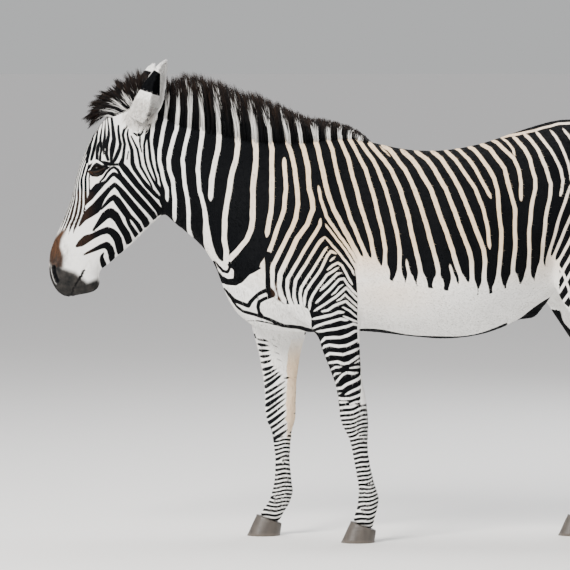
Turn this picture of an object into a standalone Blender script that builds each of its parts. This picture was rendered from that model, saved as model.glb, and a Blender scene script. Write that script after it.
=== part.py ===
"""A grazing zebra stallion at rest, life size: head low and to -X, its left side to -Y, hooves on Z = 0.

The flesh is lofted from named sections, fused, softened and then parted by thin planar cuts.
Sections are given in centimetres. Everything is built in metres.
"""

import math

import bmesh
import bpy
import numpy as np
from mathutils import Matrix, Vector

CM = 0.01

# Mesh density of the fused flesh
VOXEL = 0.0042
RING_POINTS = 32
STEPS_BETWEEN = 5
SOFTEN_ROUNDS = 22
SOFTEN_PULL = 0.55
SOFTEN_PUSH = 0.57
FLESH_TRIANGLES = 4650

# Clearances between neighbouring solids
PART_GAP = 0.0005
HAIR_GAP = 0.0006
EYE_GAP = 0.0003

# Each trunk, neck and head section: the top x and z, the bottom x and z, the half width,
# the height of the widest line as a share, and the squareness above and below that line.
TRUNK = (
    (-50.0, 104.0, -49.5, 89.0, 5.0, 0.45, 2.0, 2.0),
    (-47.6, 110.8, -46.0, 81.0, 10.5, 0.45, 2.0, 2.0),
    (-41.9, 127.1, -39.4, 75.3, 16.0, 0.42, 2.0, 2.2),
    (-30.5, 138.4, -28.8, 73.5, 19.0, 0.42, 1.9, 2.3),
    (-18.1, 143.1, -17.0, 73.5, 19.5, 0.42, 1.7, 2.4),
    (-7.5, 144.5, -6.4, 74.0, 20.0, 0.42, 1.5, 2.4),
    (3.2, 141.4, 4.3, 73.4, 22.5, 0.42, 1.7, 2.3),
    (15.6, 138.9, 16.3, 72.0, 26.0, 0.43, 1.9, 2.2),
    (28.0, 138.8, 28.8, 71.2, 28.0, 0.43, 2.0, 2.1),
    (40.5, 141.0, 41.2, 72.8, 28.0, 0.44, 2.0, 2.1),
    (51.1, 144.5, 51.8, 76.7, 27.0, 0.46, 2.0, 2.0),
    (60.0, 147.4, 61.1, 83.0, 26.0, 0.50, 2.0, 2.0),
    (68.9, 149.5, 69.6, 89.6, 25.0, 0.54, 1.9, 2.0),
    (79.5, 149.1, 80.2, 91.2, 23.5, 0.55, 1.9, 2.0),
    (88.4, 146.3, 89.5, 92.0, 20.5, 0.55, 1.9, 2.0),
    (95.5, 141.5, 96.0, 97.0, 15.5, 0.55, 1.9, 2.0),
    (99.3, 135.0, 99.4, 107.2, 10.0, 0.55, 2.0, 2.0),
    (101.0, 127.8, 101.0, 115.4, 5.0, 0.50, 2.0, 2.0),
)
NECK = (
    (-76.7, 151.9, -78.1, 124.2, 7.0, 0.50, 2.0, 2.0),
    (-71.0, 151.9, -72.4, 116.4, 7.8, 0.50, 1.8, 2.0),
    (-62.5, 150.9, -65.7, 110.4, 8.6, 0.46, 1.6, 2.0),
    (-51.8, 149.1, -58.9, 104.4, 9.8, 0.43, 1.5, 2.0),
    (-41.2, 145.9, -54.7, 98.3, 11.8, 0.42, 1.5, 2.0),
    (-28.8, 143.8, -51.1, 90.2, 15.0, 0.42, 1.5, 2.1),
    (-16.3, 143.4, -44.7, 79.2, 17.5, 0.42, 1.6, 2.2),
    (-7.5, 142.0, -32.3, 75.5, 17.0, 0.42, 1.7, 2.2),
)
HEAD = (
    (-66.0, 149.0, -63.0, 136.0, 4.6, 0.50, 2.0, 2.0),
    (-71.5, 151.8, -66.2, 134.4, 5.9, 0.50, 2.0, 2.0),
    (-76.7, 154.0, -68.9, 133.1, 6.8, 0.50, 2.0, 2.0),
    (-82.0, 155.5, -69.2, 131.3, 7.4, 0.52, 2.0, 2.0),
    (-87.3, 154.4, -69.6, 129.2, 8.2, 0.55, 2.1, 2.0),
    (-92.2, 150.1, -69.9, 125.7, 9.0, 0.60, 2.2, 2.1),
    (-96.3, 144.8, -69.9, 121.2, 9.7, 0.64, 2.4, 2.1),
    (-99.5, 138.6, -70.6, 117.0, 10.0, 0.68, 2.6, 2.1),
    (-101.7, 133.0, -73.4, 114.2, 9.8, 0.70, 2.7, 2.1),
    (-103.1, 127.9, -76.5, 111.6, 9.0, 0.68, 2.6, 2.1),
    (-104.4, 122.9, -80.1, 107.8, 7.8, 0.60, 2.4, 2.1),
    (-105.8, 118.2, -84.1, 103.8, 6.7, 0.54, 2.3, 2.0),
    (-107.9, 113.2, -88.2, 100.5, 5.9, 0.50, 2.2, 2.0),
    (-110.0, 108.6, -91.9, 97.1, 5.5, 0.50, 2.2, 2.0),
    (-111.8, 104.0, -94.8, 95.1, 5.6, 0.52, 2.2, 2.1),
    (-112.7, 99.4, -94.1, 92.3, 6.0, 0.58, 2.3, 2.2),
    (-112.5, 95.1, -95.1, 89.5, 6.0, 0.60, 2.3, 2.3),
    (-111.5, 91.2, -98.7, 88.0, 5.2, 0.58, 2.2, 2.2),
    (-109.7, 88.4, -102.6, 87.0, 4.0, 0.50, 2.1, 2.1),
    (-107.9, 86.6, -105.1, 86.1, 1.6, 0.50, 2.0, 2.0),
)

# Each leg section: the front x and z, the back x and z, the half width, the distance from the midline.
FORELEG_NEAR = (
    (-27.0, 121.0, -10.0, 124.0, 2.0, 10.0),
    (-36.0, 106.0, -6.5, 110.0, 6.2, 12.8),
    (-38.5, 94.0, -4.6, 98.0, 8.2, 13.6),
    (-33.0, 85.0, -2.6, 89.0, 8.2, 13.8),
    (-23.4, 78.0, -1.8, 82.0, 7.4, 13.8),
    (-17.8, 73.5, -2.1, 75.0, 6.5, 13.6),
    (-16.0, 68.5, -2.0, 69.2, 5.8, 13.3),
    (-13.8, 63.2, -1.8, 63.5, 5.2, 13.0),
    (-11.5, 56.8, -1.1, 56.8, 4.4, 12.7),
    (-10.3, 51.5, 0.0, 51.5, 4.1, 12.5),
    (-9.9, 46.5, 0.7, 46.5, 4.5, 12.3),
    (-8.9, 41.9, 0.9, 42.2, 4.3, 12.2),
    (-6.7, 38.0, 0.7, 38.0, 3.2, 12.1),
    (-5.3, 32.7, 0.7, 32.7, 2.4, 12.0),
    (-3.9, 24.8, 2.1, 24.8, 2.2, 12.0),
    (-3.0, 19.5, 3.4, 19.9, 2.5, 12.0),
    (-3.0, 15.8, 4.7, 15.6, 3.2, 12.0),
    (-3.3, 12.6, 4.1, 11.4, 3.0, 12.0),
    (-4.2, 9.6, 2.8, 8.2, 2.8, 12.0),
    (-5.3, 7.6, 2.6, 5.4, 3.1, 12.0),
    (-6.0, 5.6, 2.9, 3.2, 3.1, 12.0),
)
FORELEG_FAR = (
    (-31.0, 121.0, -13.0, 124.0, 2.0, 10.0),
    (-41.0, 106.0, -11.0, 110.0, 6.2, 12.8),
    (-43.5, 94.0, -11.5, 97.0, 8.2, 13.6),
    (-42.8, 84.5, -15.0, 86.5, 8.0, 13.8),
    (-41.5, 78.0, -18.8, 79.5, 7.4, 13.7),
    (-40.5, 73.0, -20.4, 74.0, 6.7, 13.5),
    (-39.2, 68.2, -22.2, 68.2, 5.9, 13.2),
    (-38.0, 63.2, -23.3, 63.2, 5.3, 12.9),
    (-36.9, 56.8, -24.2, 56.8, 4.7, 12.6),
    (-36.4, 51.1, -24.5, 51.1, 4.3, 12.4),
    (-36.2, 46.1, -24.7, 46.1, 4.6, 12.2),
    (-35.5, 41.5, -25.0, 41.5, 4.4, 12.1),
    (-33.7, 37.3, -26.2, 37.3, 3.2, 12.0),
    (-32.9, 31.9, -26.7, 31.9, 2.4, 12.0),
    (-32.6, 24.8, -26.5, 24.8, 2.2, 12.0),
    (-32.8, 19.5, -26.3, 19.9, 2.5, 12.0),
    (-33.4, 15.8, -25.7, 15.6, 3.2, 12.0),
    (-34.6, 12.4, -27.0, 11.2, 3.0, 12.0),
    (-36.6, 9.2, -29.4, 8.0, 2.8, 12.0),
    (-38.4, 7.4, -30.4, 5.2, 3.1, 12.0),
    (-39.5, 5.6, -30.5, 3.2, 3.1, 12.0),
)
HINDLEG_NEAR = (
    (73.0, 131.0, 89.0, 135.0, 4.0, 9.0),
    (66.5, 118.0, 98.0, 126.0, 9.3, 12.0),
    (64.0, 104.0, 101.8, 115.4, 11.3, 13.3),
    (65.4, 94.0, 100.6, 102.9, 10.6, 13.8),
    (68.3, 86.6, 97.8, 92.3, 8.9, 13.9),
    (72.3, 79.9, 94.9, 83.4, 7.2, 13.8),
    (77.0, 73.1, 94.2, 76.3, 5.8, 13.5),
    (82.0, 66.7, 95.8, 69.9, 4.7, 13.2),
    (86.6, 61.4, 99.0, 64.6, 3.9, 13.0),
    (90.0, 56.8, 102.2, 59.6, 3.6, 12.8),
    (91.9, 52.5, 104.0, 54.5, 4.1, 12.6),
    (92.7, 48.3, 103.9, 49.3, 4.2, 12.5),
    (93.5, 43.3, 103.1, 43.3, 3.6, 12.4),
    (94.7, 37.6, 102.4, 37.6, 2.8, 12.3),
    (95.7, 30.2, 102.3, 30.2, 2.5, 12.2),
    (95.8, 24.1, 102.2, 24.1, 2.4, 12.2),
    (95.2, 19.5, 102.5, 19.9, 2.7, 12.2),
    (94.2, 15.6, 102.4, 15.6, 3.3, 12.2),
    (92.6, 12.3, 100.4, 11.2, 3.0, 12.2),
    (90.3, 9.4, 97.8, 8.0, 2.8, 12.2),
    (88.4, 7.4, 96.6, 5.2, 3.1, 12.2),
    (87.3, 5.6, 96.6, 3.2, 3.1, 12.2),
)
HINDLEG_FAR = (
    (69.0, 131.0, 87.0, 135.0, 4.0, 9.0),
    (62.5, 118.0, 96.0, 125.5, 9.3, 12.0),
    (59.4, 104.0, 98.6, 114.7, 11.3, 13.3),
    (60.0, 94.7, 96.2, 102.9, 10.6, 13.8),
    (62.6, 86.6, 92.1, 92.3, 8.9, 13.9),
    (66.9, 79.5, 88.4, 83.4, 7.2, 13.8),
    (71.4, 72.8, 87.2, 76.3, 5.8, 13.5),
    (75.6, 66.7, 88.6, 69.9, 4.7, 13.2),
    (79.2, 61.4, 91.2, 64.6, 3.9, 13.0),
    (82.0, 56.8, 94.0, 59.6, 3.6, 12.8),
    (83.6, 52.5, 95.6, 54.5, 4.1, 12.6),
    (84.0, 48.3, 95.3, 49.3, 4.2, 12.5),
    (83.8, 43.3, 93.5, 43.3, 3.6, 12.4),
    (83.6, 37.6, 91.4, 37.6, 2.8, 12.3),
    (82.9, 30.2, 89.6, 30.2, 2.5, 12.2),
    (81.9, 24.1, 88.4, 24.1, 2.4, 12.2),
    (80.6, 19.5, 88.0, 19.9, 2.7, 12.2),
    (79.1, 15.6, 87.3, 15.6, 3.3, 12.2),
    (77.1, 12.3, 84.9, 11.2, 3.0, 12.2),
    (74.7, 9.4, 82.3, 8.0, 2.8, 12.2),
    (72.8, 7.4, 81.0, 5.2, 3.1, 12.2),
    (71.7, 5.6, 81.0, 3.2, 3.1, 12.2),
)
TAIL_DOCK = (
    (93.0, 141.0, 91.5, 133.5, 3.6, 0.0),
    (98.0, 141.8, 96.0, 135.0, 3.3, 0.0),
    (102.8, 139.6, 99.6, 134.0, 2.9, 0.0),
    (106.6, 134.8, 102.4, 131.0, 2.5, 0.0),
    (108.8, 127.0, 104.2, 125.6, 2.2, 0.0),
    (109.6, 117.0, 105.2, 117.0, 1.9, 0.0),
    (109.6, 107.0, 105.6, 107.0, 1.8, 0.0),
    (109.4, 99.0, 105.7, 99.0, 1.7, 0.0),
    (109.1, 92.0, 106.2, 92.0, 1.4, 0.0),
)
SHEATH = (
    (49.5, 82.0, 51.0, 78.6, 1.4, 0.0),
    (53.5, 83.5, 55.6, 77.9, 2.7, 0.0),
    (57.0, 86.0, 59.6, 78.2, 3.2, 0.0),
    (61.0, 88.8, 63.4, 82.4, 2.9, 0.0),
    (65.0, 91.5, 66.8, 86.5, 2.2, 0.0),
)

# Hair solids, out to the tips: the tip x and z, the root x and z, the half width.
MANE = (
    (-77.3, 166.8, -77.3, 149.0, 1.5),
    (-73.4, 165.4, -73.8, 149.0, 2.2),
    (-69.0, 164.9, -69.6, 148.8, 2.5),
    (-63.5, 167.4, -63.9, 148.4, 2.6),
    (-57.9, 167.0, -57.9, 147.6, 2.7),
    (-51.8, 165.0, -51.8, 146.3, 2.8),
    (-44.7, 162.2, -45.4, 144.2, 2.8),
    (-36.9, 160.4, -39.0, 142.4, 2.8),
    (-29.8, 157.4, -31.9, 141.0, 2.7),
    (-24.1, 153.4, -25.6, 140.3, 2.6),
    (-19.2, 151.2, -19.9, 140.0, 2.5),
    (-12.8, 149.8, -13.5, 140.4, 2.3),
    (-6.7, 147.8, -8.2, 140.8, 2.0),
    (-1.8, 144.6, -3.5, 139.6, 1.4),
    (0.6, 142.4, -0.9, 138.8, 0.9),
)
FORELOCK = (
    (-97.6, 146.6, -93.5, 145.5, 1.0),
    (-100.6, 151.0, -90.2, 148.2, 2.0),
    (-98.8, 156.0, -88.4, 150.4, 2.5),
    (-94.8, 160.4, -86.2, 151.8, 2.7),
    (-89.6, 164.4, -83.6, 152.6, 2.6),
    (-84.4, 167.4, -81.0, 152.4, 2.4),
    (-80.6, 168.4, -79.2, 151.6, 2.1),
    (-78.0, 167.4, -77.9, 150.2, 1.5),
)
TAIL_TUFT = (
    (109.0, 91.4, 106.2, 91.4, 1.4),
    (110.2, 86.5, 104.8, 86.5, 2.7),
    (111.2, 78.0, 103.6, 78.0, 4.0),
    (111.0, 68.0, 103.4, 68.0, 4.0),
    (109.8, 59.0, 104.2, 59.0, 3.0),
    (108.2, 51.5, 105.4, 51.5, 1.6),
)

# Muscles, bones and hollows as soft swellings of the skin: the centre x, the distance from the
# midline and z, the radii along x, y and z, the tilt about Y and the height, which a hollow has below zero.
SWELLS = (
    ("orbit", (-94.8, 9.4, 134.2), (3.4, 3.4, 2.2), 32.0, 1.0),
    ("temple", (-88.5, 8.0, 143.0), (3.6, 4.0, 4.0), 30.0, -0.7),
    ("cheek", (-79.5, 8.5, 125.0), (6.5, 5.0, 7.5), 38.0, 1.0),
    ("facial_crest", (-94.0, 8.0, 121.0), (1.7, 4.0, 6.5), 36.0, 0.6),
    ("nasal_hollow", (-99.5, 6.5, 114.0), (2.6, 4.0, 8.5), 20.0, -0.5),
    ("nostril", (-109.5, 5.0, 94.6), (2.4, 3.2, 3.6), -14.0, 0.8),
    ("chin", (-98.0, 0.0, 89.4), (3.2, 4.5, 2.6), 0.0, 0.7),
    ("shoulder_blade", (-19.0, 19.0, 116.0), (8.5, 9.0, 19.0), -22.0, 1.5),
    ("shoulder_point", (-40.0, 15.0, 98.5), (6.0, 7.0, 7.5), -10.0, 2.0),
    ("shoulder_dip", (-30.0, 18.0, 113.0), (3.2, 7.0, 12.0), -26.0, -0.7),
    ("breast", (-47.0, 6.0, 90.5), (5.5, 4.5, 7.5), 0.0, 1.4),
    ("breast_groove", (-50.0, 0.0, 92.0), (6.0, 1.8, 9.0), 0.0, -1.2),
    ("upper_arm", (-9.0, 19.5, 95.0), (7.0, 6.0, 11.0), 38.0, 1.5),
    ("girth_hollow", (6.0, 17.0, 82.0), (5.0, 7.0, 7.0), 0.0, -0.8),
    ("flank_hollow", (54.0, 25.0, 119.0), (6.5, 6.0, 10.0), 18.0, -1.1),
    ("hip", (62.5, 21.0, 136.5), (5.0, 5.5, 4.5), 0.0, 1.4),
    ("haunch", (84.0, 24.0, 120.0), (12.0, 8.0, 14.0), 10.0, 1.3),
    ("stifle", (67.5, 20.0, 91.0), (4.5, 5.5, 5.5), 0.0, 1.1),
    ("ham_groove", (93.0, 20.0, 110.0), (2.2, 7.0, 14.0), -6.0, -0.7),
    ("crest_dip", (-34.0, 10.0, 134.0), (12.0, 5.0, 5.0), 24.0, -0.8),
    ("neck_muscle", (-52.0, 11.0, 112.0), (5.0, 5.0, 15.0), 40.0, 0.8),
    ("windpipe_groove", (-58.5, 8.0, 105.0), (2.4, 4.5, 12.0), 42.0, -0.7),
)

# Ears: base, tip, the direction that the cup opens to, the greatest half width, the thickness of the shell.
EARS = {
    "left": ((-80.4, -6.6, 149.0), (-70.2, -9.0, 170.4), (0.86, -0.46, -0.10)),
    "right": ((-81.6, 6.6, 149.5), (-75.0, 8.8, 168.8), (0.88, 0.42, -0.10)),
}
# How far up the ear, the radius of its cup there and the half angle that the cup goes round
EAR_CUP = (
    (0.00, 4.1, 150.0),
    (0.15, 4.9, 140.0),
    (0.35, 5.4, 122.0),
    (0.55, 5.0, 104.0),
    (0.75, 4.0, 90.0),
    (0.90, 2.5, 82.0),
    (1.00, 0.9, 78.0),
)
EAR_BOW = 1.0
EAR_SHELL = 0.75
EAR_LEAST_RADIUS = 0.15
EAR_ROWS = 10
EAR_COLUMNS = 11

EYE_CENTRE = (-94.7, 8.55, 131.9)
EYE_RADIUS = 2.45

# Hooves: the toe x, the heel x, the distance from the midline and the half width, all on the ground.
HOOF_HALF_WIDTH_FORE = 4.7
HOOF_HALF_WIDTH_HIND = 4.3
HOOVES = (
    ("hoof_front_left", -9.0, 2.9, -12.0, HOOF_HALF_WIDTH_FORE),
    ("hoof_front_right", -42.4, -30.5, 12.0, HOOF_HALF_WIDTH_FORE),
    ("hoof_rear_left", 84.6, 96.2, -12.2, HOOF_HALF_WIDTH_HIND),
    ("hoof_rear_right", 69.0, 80.6, 12.2, HOOF_HALF_WIDTH_HIND),
)
HOOF_TOE_HEIGHT = 7.6
HOOF_HEEL_HEIGHT = 4.2
HOOF_TOE_RUN = 3.5
HOOF_HEEL_RUN = 0.7
HOOF_TOP_WIDTH_SHARE = 0.78
HOOF_POINTS = 20
HOOF_ROUND = 2.3
HEEL_PINCH = 0.16
CORONET_MARGIN = 6.0
CORONET_DEPTH = -8.0

LIMB_SQUARENESS = 2.2
HAIR_WIDEST = 0.35
HAIR_SQUARENESS = 1.7
FEWEST_POINTS = 8

# Thin parting cuts: the centre, the half sizes and the tilt about Y of each slab.
PART_CUTS = (
    ("cut_poll", (-72.0, 0.0, 133.0), (0.0, 16.0, 22.0), 0.0),
    ("cut_neck", (-38.0, 0.0, 118.0), (0.0, 30.0, 48.0), 27.0),
    ("cut_dock", (101.2, 0.0, 136.5), (0.0, 6.0, 6.5), -10.0),
    ("cut_forearm_near", (-9.5, -14.0, 70.8), (14.0, 12.0, 0.0), 0.0),
    ("cut_forearm_far", (-31.0, 14.0, 70.8), (14.0, 12.0, 0.0), 0.0),
    ("cut_thigh_near", (82.5, -14.5, 81.0), (17.5, 14.0, 0.0), 0.0),
    ("cut_thigh_far", (77.0, 14.5, 81.0), (17.5, 14.0, 0.0), 0.0),
    ("cut_knee_near", (-4.8, -12.5, 46.4), (10.0, 9.0, 0.0), 0.0),
    ("cut_knee_far", (-30.4, 12.5, 46.0), (10.0, 9.0, 0.0), 0.0),
    ("cut_hock_near", (97.6, -12.7, 52.0), (11.0, 9.0, 0.0), -10.0),
    ("cut_hock_far", (89.2, 12.7, 52.0), (11.0, 9.0, 0.0), -10.0),
)

# A point inside each flesh node, in the order that the nodes are named.
FLESH_NODES = {
    "head": (-93.0, 0.0, 121.0),
    "neck": (-56.0, 0.0, 128.0),
    "trunk": (30.0, 0.0, 106.0),
    "tail": (107.0, 0.0, 117.0),
    "foreleg_left_upper": (-7.5, -12.8, 59.0),
    "foreleg_left_lower": (-2.5, -12.0, 29.0),
    "foreleg_right_upper": (-31.0, 12.8, 59.0),
    "foreleg_right_lower": (-29.7, 12.0, 29.0),
    "hindleg_left_upper": (89.0, -13.3, 68.0),
    "hindleg_left_lower": (98.8, -12.2, 31.0),
    "hindleg_right_upper": (82.0, 13.3, 68.0),
    "hindleg_right_lower": (86.0, 12.2, 31.0),
}

# Colour, roughness and metallic value of each node's material
COAT = (0.62, 0.58, 0.52, 1.0)
HAIR = (0.03, 0.028, 0.028, 1.0)
HORN = (0.09, 0.08, 0.075, 1.0)
EYE = (0.012, 0.009, 0.008, 1.0)
COAT_ROUGHNESS = 0.85
HAIR_ROUGHNESS = 0.7
HORN_ROUGHNESS = 0.5
EYE_ROUGHNESS = 0.08


def clear_scene():
    for item in list(bpy.data.objects):
        bpy.data.objects.remove(item, do_unlink=True)


def new_collection(name):
    made = bpy.data.collections.new(name)
    bpy.context.scene.collection.children.link(made)
    return made


def material(name, colour, roughness):
    made = bpy.data.materials.new(name)
    made.use_nodes = True
    shader = made.node_tree.nodes["Principled BSDF"]
    shader.inputs["Base Color"].default_value = colour
    shader.inputs["Roughness"].default_value = roughness
    shader.inputs["Metallic"].default_value = 0.0
    made.diffuse_color = colour
    return made


def place(name, mesh, collection):
    made = bpy.data.objects.new(name, mesh)
    collection.objects.link(made)
    return made


def helper(name, mesh, collection):
    made = place(name, mesh, collection)
    made.hide_render = True
    made.display_type = "WIRE"
    return made


def mesh_from(name, points, faces):
    mesh = bpy.data.meshes.new(name)
    mesh.from_pydata([tuple(point) for point in points], [], faces)
    work = bmesh.new()
    work.from_mesh(mesh)
    bmesh.ops.recalc_face_normals(work, faces=work.faces)
    if work.calc_volume(signed=True) < 0.0:
        bmesh.ops.reverse_faces(work, faces=work.faces)
    work.to_mesh(mesh)
    work.free()
    return mesh


def smooth_rows(rows, steps):
    """Catmull-Rom interpolation of whole rows, so that every size runs smoothly from section to section."""
    table = np.array(rows, dtype=float)
    padded = np.vstack([2 * table[0] - table[1], table, 2 * table[-1] - table[-2]])
    out = []
    for index in range(1, len(padded) - 2):
        before, start, end, after = padded[index - 1 : index + 3]
        for step in range(steps):
            t = step / steps
            out.append(
                0.5
                * (
                    2 * start
                    + (end - before) * t
                    + (2 * before - 5 * start + 4 * end - after) * t * t
                    + (3 * start - before - 3 * end + after) * t**3
                )
            )
    out.append(table[-1])
    return np.array(out)


def section_ring(top, bottom, half_width, widest, above, below, offset, count):
    """One closed ring: a superellipse whose widest line may sit above or below its middle."""
    angle = np.arange(count) * math.tau / count
    across = np.cos(angle)
    along = np.sin(angle)
    power = np.where(along >= 0.0, above, below)
    side = np.sign(across) * np.abs(across) ** (2.0 / power) * half_width
    reach = np.abs(along) ** (2.0 / power)
    height = np.where(along >= 0.0, widest + (1.0 - widest) * reach, widest * (1.0 - reach))
    ring = np.empty((count, 3))
    ring[:, 0] = bottom[0] + (top[0] - bottom[0]) * height
    ring[:, 1] = offset + side
    ring[:, 2] = bottom[1] + (top[1] - bottom[1]) * height
    return ring * CM


def tube(name, rings):
    """A closed mesh through equal rings, capped at both ends."""
    count = len(rings[0])
    points = np.vstack(rings)
    faces = []
    for row in range(len(rings) - 1):
        for column in range(count):
            after = (column + 1) % count
            low = row * count
            high = low + count
            faces.append((low + column, low + after, high + after, high + column))
    faces.append(tuple(range(count)))
    last = (len(rings) - 1) * count
    faces.append(tuple(last + column for column in range(count - 1, -1, -1)))
    return mesh_from(name, points, faces)


def body_loft(name, sections):
    rings = []
    for row in smooth_rows(sections, STEPS_BETWEEN):
        top = row[0:2]
        bottom = row[2:4]
        rings.append(section_ring(top, bottom, row[4], row[5], row[6], row[7], 0.0, RING_POINTS))
    return tube(name, rings)


def limb_loft(name, sections, side):
    rings = []
    for row in smooth_rows(sections, STEPS_BETWEEN):
        square = LIMB_SQUARENESS
        offset = side * row[5]
        rings.append(section_ring(row[0:2], row[2:4], row[4], 0.5, square, square, offset, RING_POINTS))
    return tube(name, rings)


def hair_loft(name, sections, steps, count):
    rings = []
    for row in smooth_rows(sections, steps):
        square = HAIR_SQUARENESS
        rings.append(section_ring(row[0:2], row[2:4], row[4], HAIR_WIDEST, square, 2.0, 0.0, count))
    return tube(name, rings)


def ear_axes(word):
    base, tip, opens = (Vector(value) for value in EARS[word])
    along = (tip - base).normalized()
    opens = (opens - opens.dot(along) * along).normalized()
    across = along.cross(opens)
    return base, tip, along, opens, across


def ear_shell(name, word):
    """A deep cup: nearly closed at its root, open above, drawn in to a rounded tip."""
    base, tip, _, opens, across = ear_axes(word)
    shares, radii, angles = (np.array(column) for column in zip(*EAR_CUP))
    outer = []
    inner = []
    for row in range(EAR_ROWS):
        share = row / (EAR_ROWS - 1)
        radius = float(np.interp(share, shares, radii))
        reach = math.radians(float(np.interp(share, shares, angles)))
        centre = base.lerp(tip, share) + opens * EAR_BOW * math.sin(math.pi * share)
        for column in range(EAR_COLUMNS):
            angle = (column / (EAR_COLUMNS - 1) * 2.0 - 1.0) * reach
            outward = across * math.sin(angle) - opens * math.cos(angle)
            outer.append(centre + outward * radius)
            inner.append(centre + outward * max(radius - EAR_SHELL, EAR_LEAST_RADIUS))
    points = [point * CM for point in outer + inner]
    half = EAR_ROWS * EAR_COLUMNS
    faces = []
    for row in range(EAR_ROWS - 1):
        for column in range(EAR_COLUMNS - 1):
            first = row * EAR_COLUMNS + column
            above = first + EAR_COLUMNS
            faces.append((first, first + 1, above + 1, above))
            faces.append((half + first, half + above, half + above + 1, half + first + 1))
    for row in range(EAR_ROWS - 1):
        for first in (row * EAR_COLUMNS, row * EAR_COLUMNS + EAR_COLUMNS - 1):
            above = first + EAR_COLUMNS
            faces.append((first, above, half + above, half + first))
    for start in (0, (EAR_ROWS - 1) * EAR_COLUMNS):
        for column in range(EAR_COLUMNS - 1):
            first = start + column
            faces.append((first, half + first, half + first + 1, first + 1))
    return mesh_from(name, points, faces)


def join(name, meshes, collection):
    work = bmesh.new()
    for mesh in meshes:
        work.from_mesh(mesh)
    joined = bpy.data.meshes.new(name)
    work.to_mesh(joined)
    work.free()
    return helper(name, joined, collection)


def evaluated_copy(obj, name):
    bpy.context.view_layer.update()
    graph = bpy.context.evaluated_depsgraph_get()
    mesh = bpy.data.meshes.new_from_object(obj.evaluated_get(graph), depsgraph=graph)
    mesh.name = name
    return mesh


def soften(mesh, rounds):
    """Rounds the joins between forms, with a push after each pull so that thin parts keep their size."""
    count = len(mesh.vertices)
    points = np.empty(count * 3)
    mesh.vertices.foreach_get("co", points)
    points = points.reshape(-1, 3)
    edges = np.empty(len(mesh.edges) * 2, dtype=np.int64)
    mesh.edges.foreach_get("vertices", edges)
    edges = edges.reshape(-1, 2)
    heads = np.concatenate([edges[:, 0], edges[:, 1]])
    tails = np.concatenate([edges[:, 1], edges[:, 0]])
    degree = np.maximum(np.bincount(heads, minlength=count), 1)[:, None]
    for turn in range(rounds * 2):
        total = np.stack([np.bincount(heads, points[tails, axis], count) for axis in range(3)], axis=1)
        step = total / degree - points
        points = points + step * (SOFTEN_PULL if turn % 2 == 0 else -SOFTEN_PUSH)
    mesh.vertices.foreach_set("co", points.ravel())
    mesh.update()


def swell(mesh):
    """Raises each soft form, and sinks each hollow, along the surface's own normals."""
    count = len(mesh.vertices)
    points = np.empty(count * 3)
    normals = np.empty(count * 3)
    mesh.vertices.foreach_get("co", points)
    mesh.vertices.foreach_get("normal", normals)
    points = points.reshape(-1, 3)
    normals = normals.reshape(-1, 3)
    raised = np.zeros(count)
    for _, centre, radii, tilt, height in SWELLS:
        turn = math.radians(tilt)
        for side in (-1.0, 1.0):
            away = points / CM - np.array([centre[0], side * centre[1], centre[2]])
            long = away[:, 0] * math.cos(turn) - away[:, 2] * math.sin(turn)
            tall = away[:, 0] * math.sin(turn) + away[:, 2] * math.cos(turn)
            reach = (long / radii[0]) ** 2 + (away[:, 1] / radii[1]) ** 2 + (tall / radii[2]) ** 2
            share = 0.5 if centre[1] == 0.0 else 1.0
            raised += share * height * CM * np.exp(-reach)
    mesh.vertices.foreach_set("co", (points + normals * raised[:, None]).ravel())
    mesh.update()


def fused_flesh(workshop):
    """Every fleshy form as one closed, softened and simplified mesh."""
    forms = [body_loft("form_trunk", TRUNK), body_loft("form_neck", NECK), body_loft("form_head", HEAD)]
    forms.append(limb_loft("form_foreleg_near", FORELEG_NEAR, -1.0))
    forms.append(limb_loft("form_foreleg_far", FORELEG_FAR, 1.0))
    forms.append(limb_loft("form_hindleg_near", HINDLEG_NEAR, -1.0))
    forms.append(limb_loft("form_hindleg_far", HINDLEG_FAR, 1.0))
    forms.append(limb_loft("form_tail", TAIL_DOCK, 1.0))
    forms.append(limb_loft("form_sheath", SHEATH, 1.0))
    rough = join("flesh_forms", forms, workshop)
    remesh = rough.modifiers.new("fuse", "REMESH")
    remesh.mode = "VOXEL"
    remesh.voxel_size = VOXEL
    fine = evaluated_copy(rough, "flesh_fine")
    soften(fine, SOFTEN_ROUNDS)
    swell(fine)
    dense = helper("flesh_dense", fine, workshop)
    triangles = sum(len(face.vertices) - 2 for face in fine.polygons)
    simplify = dense.modifiers.new("simplify", "DECIMATE")
    simplify.ratio = FLESH_TRIANGLES / triangles
    simplify.use_collapse_triangulate = True
    return helper("flesh", evaluated_copy(dense, "flesh"), workshop)


def grown_copy(obj, name, distance, collection):
    """The same mesh with its surface moved outwards, used to keep a clearance."""
    mesh = obj.data.copy()
    normals = [vertex.normal.copy() for vertex in mesh.vertices]
    for vertex, normal in zip(mesh.vertices, normals):
        vertex.co = vertex.co + normal * distance
    mesh.update()
    return helper(name, mesh, collection)


def slab(name, centre, half_sizes, tilt, collection):
    work = bmesh.new()
    bmesh.ops.create_cube(work, size=2.0)
    sizes = [half * CM if half > 0.0 else PART_GAP / 2 for half in half_sizes]
    size = Matrix.Diagonal((sizes[0], sizes[1], sizes[2], 1.0))
    turn = Matrix.Rotation(math.radians(tilt), 4, "Y")
    work.transform(Matrix.Translation(Vector(centre) * CM) @ turn @ size)
    mesh = bpy.data.meshes.new(name)
    work.to_mesh(mesh)
    work.free()
    return helper(name, mesh, collection)


def subtract(obj, cutters):
    """Cuts the helpers away from the object for good."""
    for cutter in cutters:
        cut = obj.modifiers.new(cutter.name, "BOOLEAN")
        cut.operation = "DIFFERENCE"
        cut.solver = "EXACT"
        cut.object = cutter
    result = evaluated_copy(obj, obj.name)
    obj.modifiers.clear()
    obj.data = result


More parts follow.
